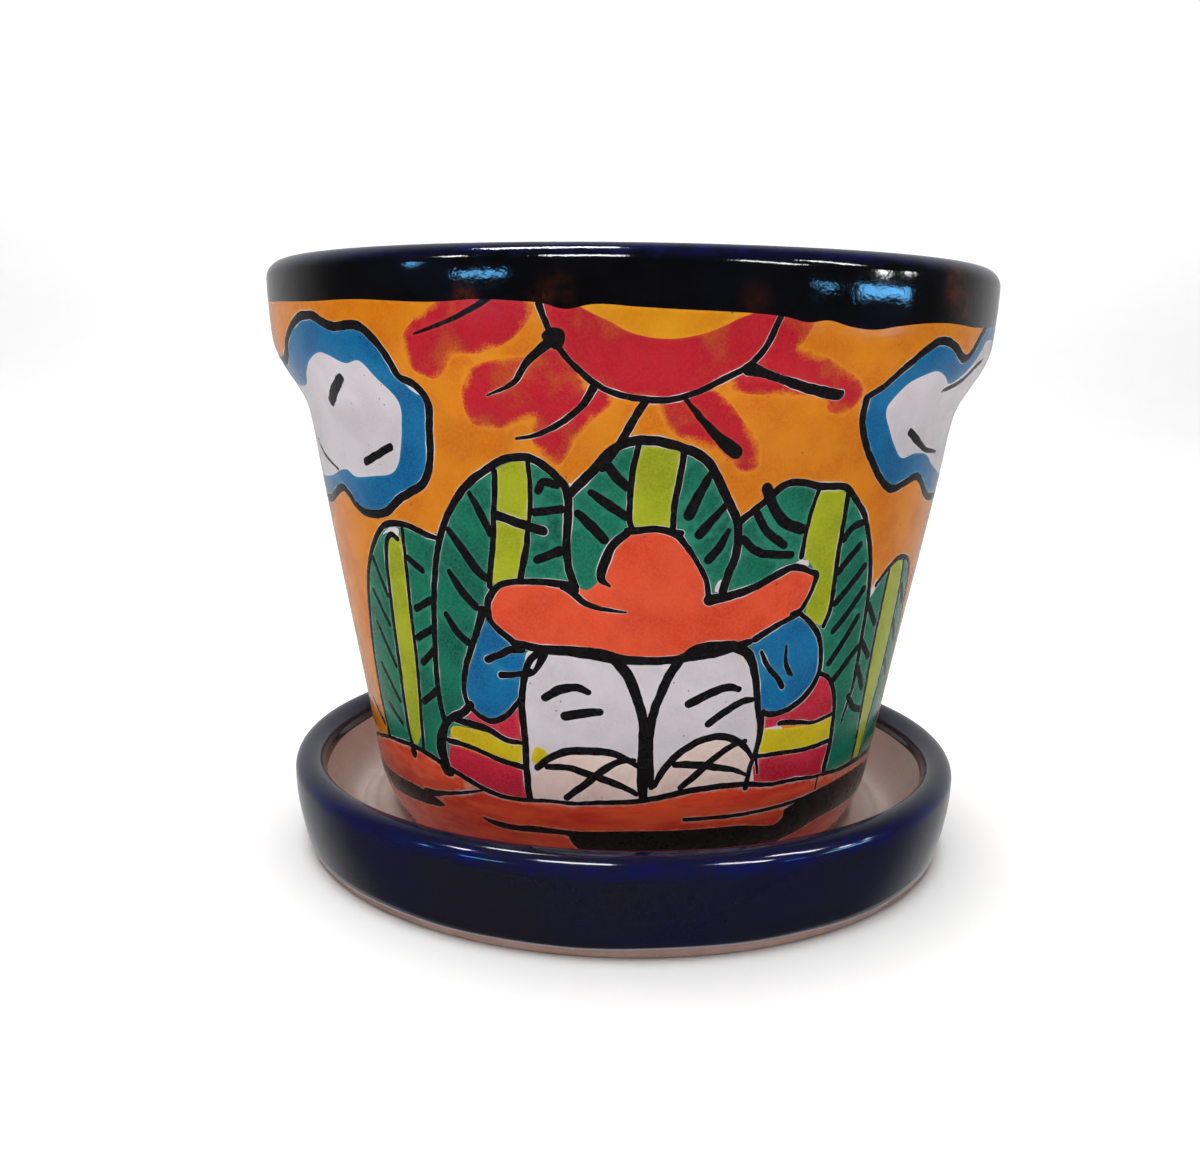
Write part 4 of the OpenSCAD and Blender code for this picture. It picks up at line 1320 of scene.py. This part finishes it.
def saucer_cobalt_material():
    """The same glaze on the saucer, even and duller, with a painted blue highlight just under the
    rim, and ending in a thin pale line above the bare foot."""
    s = Shader("cobalt_saucer")
    colour = s.patches(rgb(24, 23, 33), (20, 20, 46), (22, 3, 0.5, (0.6, 0.6, 1)), (0.36, 0.66))
    colour = s.patches(colour, (26, 27, 52), (0.7, 3), (0.5, 0.75, 0, 0.3))
    height = s.height()
    # painted highlight: a patchy brighter blue just under the rim, where the glaze catches the
    # light
    painted_rim_highlight = s.math("MULTIPLY", s.ramp(height, SAUCER_TOP - 5, SAUCER_TOP - 2.4),
                      s.ramp(height, SAUCER_TOP - 1.6, SAUCER_TOP - 0.3, 1, 0.25))
    highlight_patches = s.ramp(s.noise(8, 3, 0.6), 0.36, 0.64, 0.25, 1)
    colour = s.mix(s.math("MULTIPLY", painted_rim_highlight, highlight_patches), colour, rgb(10, 17, 76))
    level = s.node("VectorMath", {"operation": "MULTIPLY"}, i0=s.mm, i1=(1, 1, 0)).outputs[0]
    radius = s.node("VectorMath", {"operation": "LENGTH"}, i0=level).outputs["Value"]
    inner = s.ramp(radius, SAUCER_R - RIM - 0.6, SAUCER_R - RIM + 0.6, 0.75, 0)
    colour = s.mix(inner, colour, rgb(58, 44, 40))
    end = s.ramp(s.attribute("along"), 0.15, 0.55, 0.8, 0)
    colour = s.mix(end, colour, rgb(190, 182, 192))
    return glazed(s, colour, bump=s.bump(s.noise(7, 2), 0.07),
                  Roughness=s.ramp(s.noise(9, 1), 0.3, 0.7, 0.085, 0.115))


def floor_material():
    """Pale, slightly pink glaze with pinholes and specks."""
    s = Shader("white_floor")
    colour = s.patches(rgb(203, 191, 182), (194, 180, 170), (14, 4, 0.6), (0.35, 0.7))
    colour = s.patches(colour, (212, 204, 198), (1.2, 3), (0.45, 0.75, 0, 0.25))
    return glazed(s, specks(s, colour, rgb(150, 136, 126)), 0.5,
                  s.bump(s.noise(9, 2), 0.03))


def clay_material():
    """Bare fired clay: matt, pinkish, with grog and fine drag marks."""
    s = Shader("bare_clay")
    colour = s.patches(rgb(168, 138, 126), (154, 122, 108), (18, 4, 0.6), (0.35, 0.7))
    colour = s.patches(colour, (128, 98, 84), (0.5, 2), (0.62, 0.72, 0, 0.5))         # grog
    colour = s.patches(colour, (184, 166, 158), (1.4, 3), (0.62, 0.78, 0, 0.45))      # chalk
    drag = s.bump(s.noise(1.2, 3, 0.6, (0.12, 0.12, 1)), 0.12)
    grain = s.bump(s.noise(0.4, 3), 0.06, Normal=drag)
    return s.finish(Base_Color=colour, Roughness=s.ramp(s.noise(2, 2), 0.3, 0.7, 0.78, 0.95),
                    Normal=grain)


def give(piece, material, slot, body, *nodes):
    """Finishes a piece: its material, the body it rides and what it replaces. The slot is not used.
    """
    piece.data.materials.append(material)
    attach(piece, body)
    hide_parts(*nodes)


# Paints with a material of their own, and the slot and CAD node of coats that aren't on the wall
SPECIAL = {"ink": ink_material, "crimson": crimson_material, "terracotta": terracotta_material,
           "cobalt": pot_cobalt_material}
OTHER_NODES = {"cobalt": ("cobalt_glaze", "pot_rim_glaze"),
               "terracotta": ("terracotta_glaze", "pot_ground_glaze")}


def make_pot():
    """The pot's clay and a coat for each paint, all on the pot's body."""
    clay = turned("pot_clay", pot_clay_section)
    give(clay, clay_material(), "clay", "pot", "pot_body")
    for name, piece in paint_pot().items():
        material = SPECIAL[name]() if name in SPECIAL else paint_material(name)
        slot, node = OTHER_NODES.get(name, ("painted_glaze", "pot_wall_glaze"))
        give(piece, material, slot, "pot", node)


def make_saucer():
    """The saucer's clay and its two glazes."""
    clay = turned("saucer_clay", saucer_clay_section, closed=False)
    give(clay, clay_material(), "clay", "saucer", "saucer_body")
    cobalt = turned("saucer_cobalt", saucer_cobalt_section)
    give(cobalt, saucer_cobalt_material(), "cobalt_glaze", "saucer", "saucer_rim_glaze")
    floor = turned("saucer_floor", saucer_floor_section, closed=False)
    give(floor, floor_material(), "white_glaze", "saucer", "saucer_floor_glaze")


# ---- The studio -----------------------------------------------------------------------------

def paper_material():
    """Matt white paper, very slightly uneven."""
    s = Shader("sweep_paper")
    tone = s.ramp(s.noise(60, 2), 0.3, 0.7, 0.985, 1.0)
    shade = s.mix(tone, (0, 0, 0, 1), (0.96, 0.96, 0.96, 1))
    return s.finish(Base_Color=shade, Roughness=0.9, Specular_IOR_Level=0.2)


SWEEP_HALF = 3.0                # half the sweep's width, in metres like the rest of the studio
SWEEP_FRONT = -2.6              # its front edge,
SWEEP_START = 0.35              # the place where it begins to curve up,
SWEEP_BEND = 2.2                # and the radius of that curve


def make_floor():
    """A pale sweep: a floor that curves up into a backdrop."""
    profile = [(SWEEP_FRONT, 0.0)]
    for t in steps(0, math.pi / 2, 32):
        profile.append((SWEEP_START + SWEEP_BEND * math.sin(t), SWEEP_BEND * (1 - math.cos(t))))
    points = [(x / MM, y / MM, z / MM) for x in (-SWEEP_HALF, SWEEP_HALF) for y, z in profile]
    n = len(profile)
    floor = make_mesh("sweep", points, [(n + i, n + i + 1, i + 1, i) for i in range(n - 1)])
    floor.data.materials.append(paper_material())
    floor.visible_glossy = False


POT_MIDDLE = Vector((0, 0, 0.07))


def area_light(name, place, size, power, colour=(1, 1, 1), mirrored=False, aim=POT_MIDDLE,
               spread=180):
    """A soft rectangular light. A mirrored one only shows in the glaze, and any other one only
    lights matt surfaces."""
    data = bpy.data.lights.new(name, "AREA")
    data.shape = "RECTANGLE"
    data.size, data.size_y = size
    data.energy = power
    data.spread = math.radians(spread)
    data.color = colour
    lamp = bpy.data.objects.new(name, data)
    lamp.location = place
    lamp.rotation_euler = (Vector(aim) - Vector(place)).to_track_quat("-Z", "Y").to_euler()
    lamp.visible_camera = False
    lamp.visible_glossy = mirrored
    lamp.visible_diffuse = not mirrored
    bpy.context.scene.collection.objects.link(lamp)
    return lamp


def mirrored_bar(name, start, end, width, glow, colour=(1, 1, 1)):
    """A straight bar of light that shows in the glaze, from one place to another."""
    start, end = Vector(start), Vector(end)
    middle = (start + end) / 2
    long = (end - start).length
    power = glow * math.pi * long * width
    lamp = area_light(name, middle, (long, width), power, colour, mirrored=True)
    along = (end - start).normalized()
    across = along.cross(POT_MIDDLE - middle).normalized()
    lamp.rotation_euler = Matrix((along, across, along.cross(across))).transposed().to_euler()


def round_place(azimuth, elevation, distance):
    """A place seen from the pot at that many degrees to the right of the front, and up."""
    a, e = math.radians(azimuth), math.radians(elevation)
    return (distance * math.sin(a) * math.cos(e), -distance * math.cos(a) * math.cos(e),
            distance * math.sin(e))


WORLD_FILL = 0.08               # how brightly the world lights matt surfaces,
WORLD_SEEN = 0.95               # how bright it looks past the sweep,
WORLD_FRONT, WORLD_BACK = 0.06, 0.5     # and how bright it looks in the glaze


def make_world():
    """Pale all round, but darker in the glaze in front of the pot, where the room is."""
    world = bpy.data.worlds.new("studio")
    world.use_nodes = True
    tree = world.node_tree
    shade = tree.nodes["Background"]
    shade.inputs["Color"].default_value = (1, 1, 1, 1)
    place = tree.nodes.new("ShaderNodeTexCoord").outputs["Generated"]
    split = tree.nodes.new("ShaderNodeSeparateXYZ")
    tree.links.new(place, split.inputs[0])
    side = tree.nodes.new("ShaderNodeMapRange")
    side.interpolation_type = "SMOOTHSTEP"
    for key, value in (("From Min", 0.1), ("From Max", 0.8), ("To Min", WORLD_FRONT),
                       ("To Max", WORLD_BACK)):
        side.inputs[key].default_value = value
    tree.links.new(split.outputs["Y"], side.inputs["Value"])
    rays = tree.nodes.new("ShaderNodeLightPath").outputs
    strength = side.outputs[0]
    for ray, level in (("Is Diffuse Ray", WORLD_FILL), ("Is Camera Ray", WORLD_SEEN)):
        chosen = tree.nodes.new("ShaderNodeMix")
        chosen.inputs["B"].default_value = level
        tree.links.new(rays[ray], chosen.inputs["Factor"])
        tree.links.new(strength, chosen.inputs["A"])
        strength = chosen.outputs["Result"]
    tree.links.new(strength, shade.inputs["Strength"])
    bpy.context.scene.world = world


# Soft lights that light the pot: azimuth and elevation in degrees, distance, power in watts
SOFT_LIGHTS = {"key": (-25, 38, 1.3, 1.8), "low_key": (-25, 10, 1.3, 2.9),
               "fill": (40, 30, 1.4, 1.4), "low_fill": (40, 10, 1.4, 0.9)}
SOFT_SIZE = (0.9, 0.6)
# Fluorescent tubes that the glaze mirrors: from one place to another, width
TUBES = (((-0.61, 0.05, 1.4), (-0.05, 0.05, 1.4), 0.2),
         ((-0.79, -1.3, 1.4), (-0.1, -1.3, 1.4), 0.26),
         ((-1.6, -0.75, 1.4), (-1.3, -0.78, 1.4), 0.24),
         ((0.68, -1.13, 0.9), (1.04, -1.0, 0.52), 0.14),
         ((1.03, -0.7, 1.15), (1.34, -0.57, 0.75), 0.14),
         ((1.25, -0.45, 0.28), (1.3, -0.35, 0.26), 0.08),
         ((1.33, -0.2, 0.3), (1.34, -0.15, 0.29), 0.08))
TUBE_GLOW = 30
# Daylight panes that the collar mirrors: left and right azimuth, elevation, height of the pane
PANES = ((-51, -37, 2.7, 0.07), (-67, -64, 10, 0.12), (50, 57, -0.3, 0.03), (64, 83, -0.8, 0.08))
PANE_GLOW = 22
PANE_COLOUR = (0.14, 0.52, 1)
PANE_DISTANCE = 1.5
COLLAR = Vector((0, 0, 0.125))  # the panes' directions are seen from here


def make_lights():
    """Soft lights for the matt surfaces and mirrored ones for the glaze."""
    make_world()
    for name, (azimuth, elevation, distance, power) in SOFT_LIGHTS.items():
        area_light(name, round_place(azimuth, elevation, distance), SOFT_SIZE, power)
    area_light("ceiling", (-0.12, 0.0, 1.5), (1.4, 1.0), 8, aim=(-0.12, 0.0, 0), spread=75)
    area_light("backdrop", (0.0, 0.9, 1.7), (2.2, 0.6), 40, aim=(0, 2.4, 0.7))
    for i, (start, end, width) in enumerate(TUBES):
        mirrored_bar(f"tube_{i + 1}", start, end, width, TUBE_GLOW)
    for i, (left, right, elevation, tall) in enumerate(PANES):
        start, end = (Vector(round_place(azimuth, elevation, PANE_DISTANCE)) + COLLAR
                      for azimuth in (left, right))
        mirrored_bar(f"window_{i + 1}", start, end, tall, PANE_GLOW, PANE_COLOUR)


CAMERA_PLACE = (-0.0062, -0.295, 0.1144)
CAMERA_LENS = 36.96             # millimetres, on a sensor 36 mm wide
CAMERA_DOWN = 10.3              # degrees that it looks down
CAMERA_ROLL = 0.85              # degrees that it leans


def make_camera():
    """Just in front of the pot and a little above it, as the picture was taken."""
    data = bpy.data.cameras.new("camera")
    data.lens = CAMERA_LENS
    data.sensor_width = 36
    camera = bpy.data.objects.new("camera", data)
    camera.matrix_world = (Matrix.Translation(CAMERA_PLACE)
                           @ Matrix.Rotation(math.pi / 2 - math.radians(CAMERA_DOWN), 4, "X")
                           @ Matrix.Rotation(math.radians(CAMERA_ROLL), 4, "Z"))
    bpy.context.scene.collection.objects.link(camera)
    bpy.context.scene.camera = camera


bpy.context.scene.view_settings.view_transform = "Standard"
make_camera()
make_floor()
make_lights()
make_saucer()
make_pot()
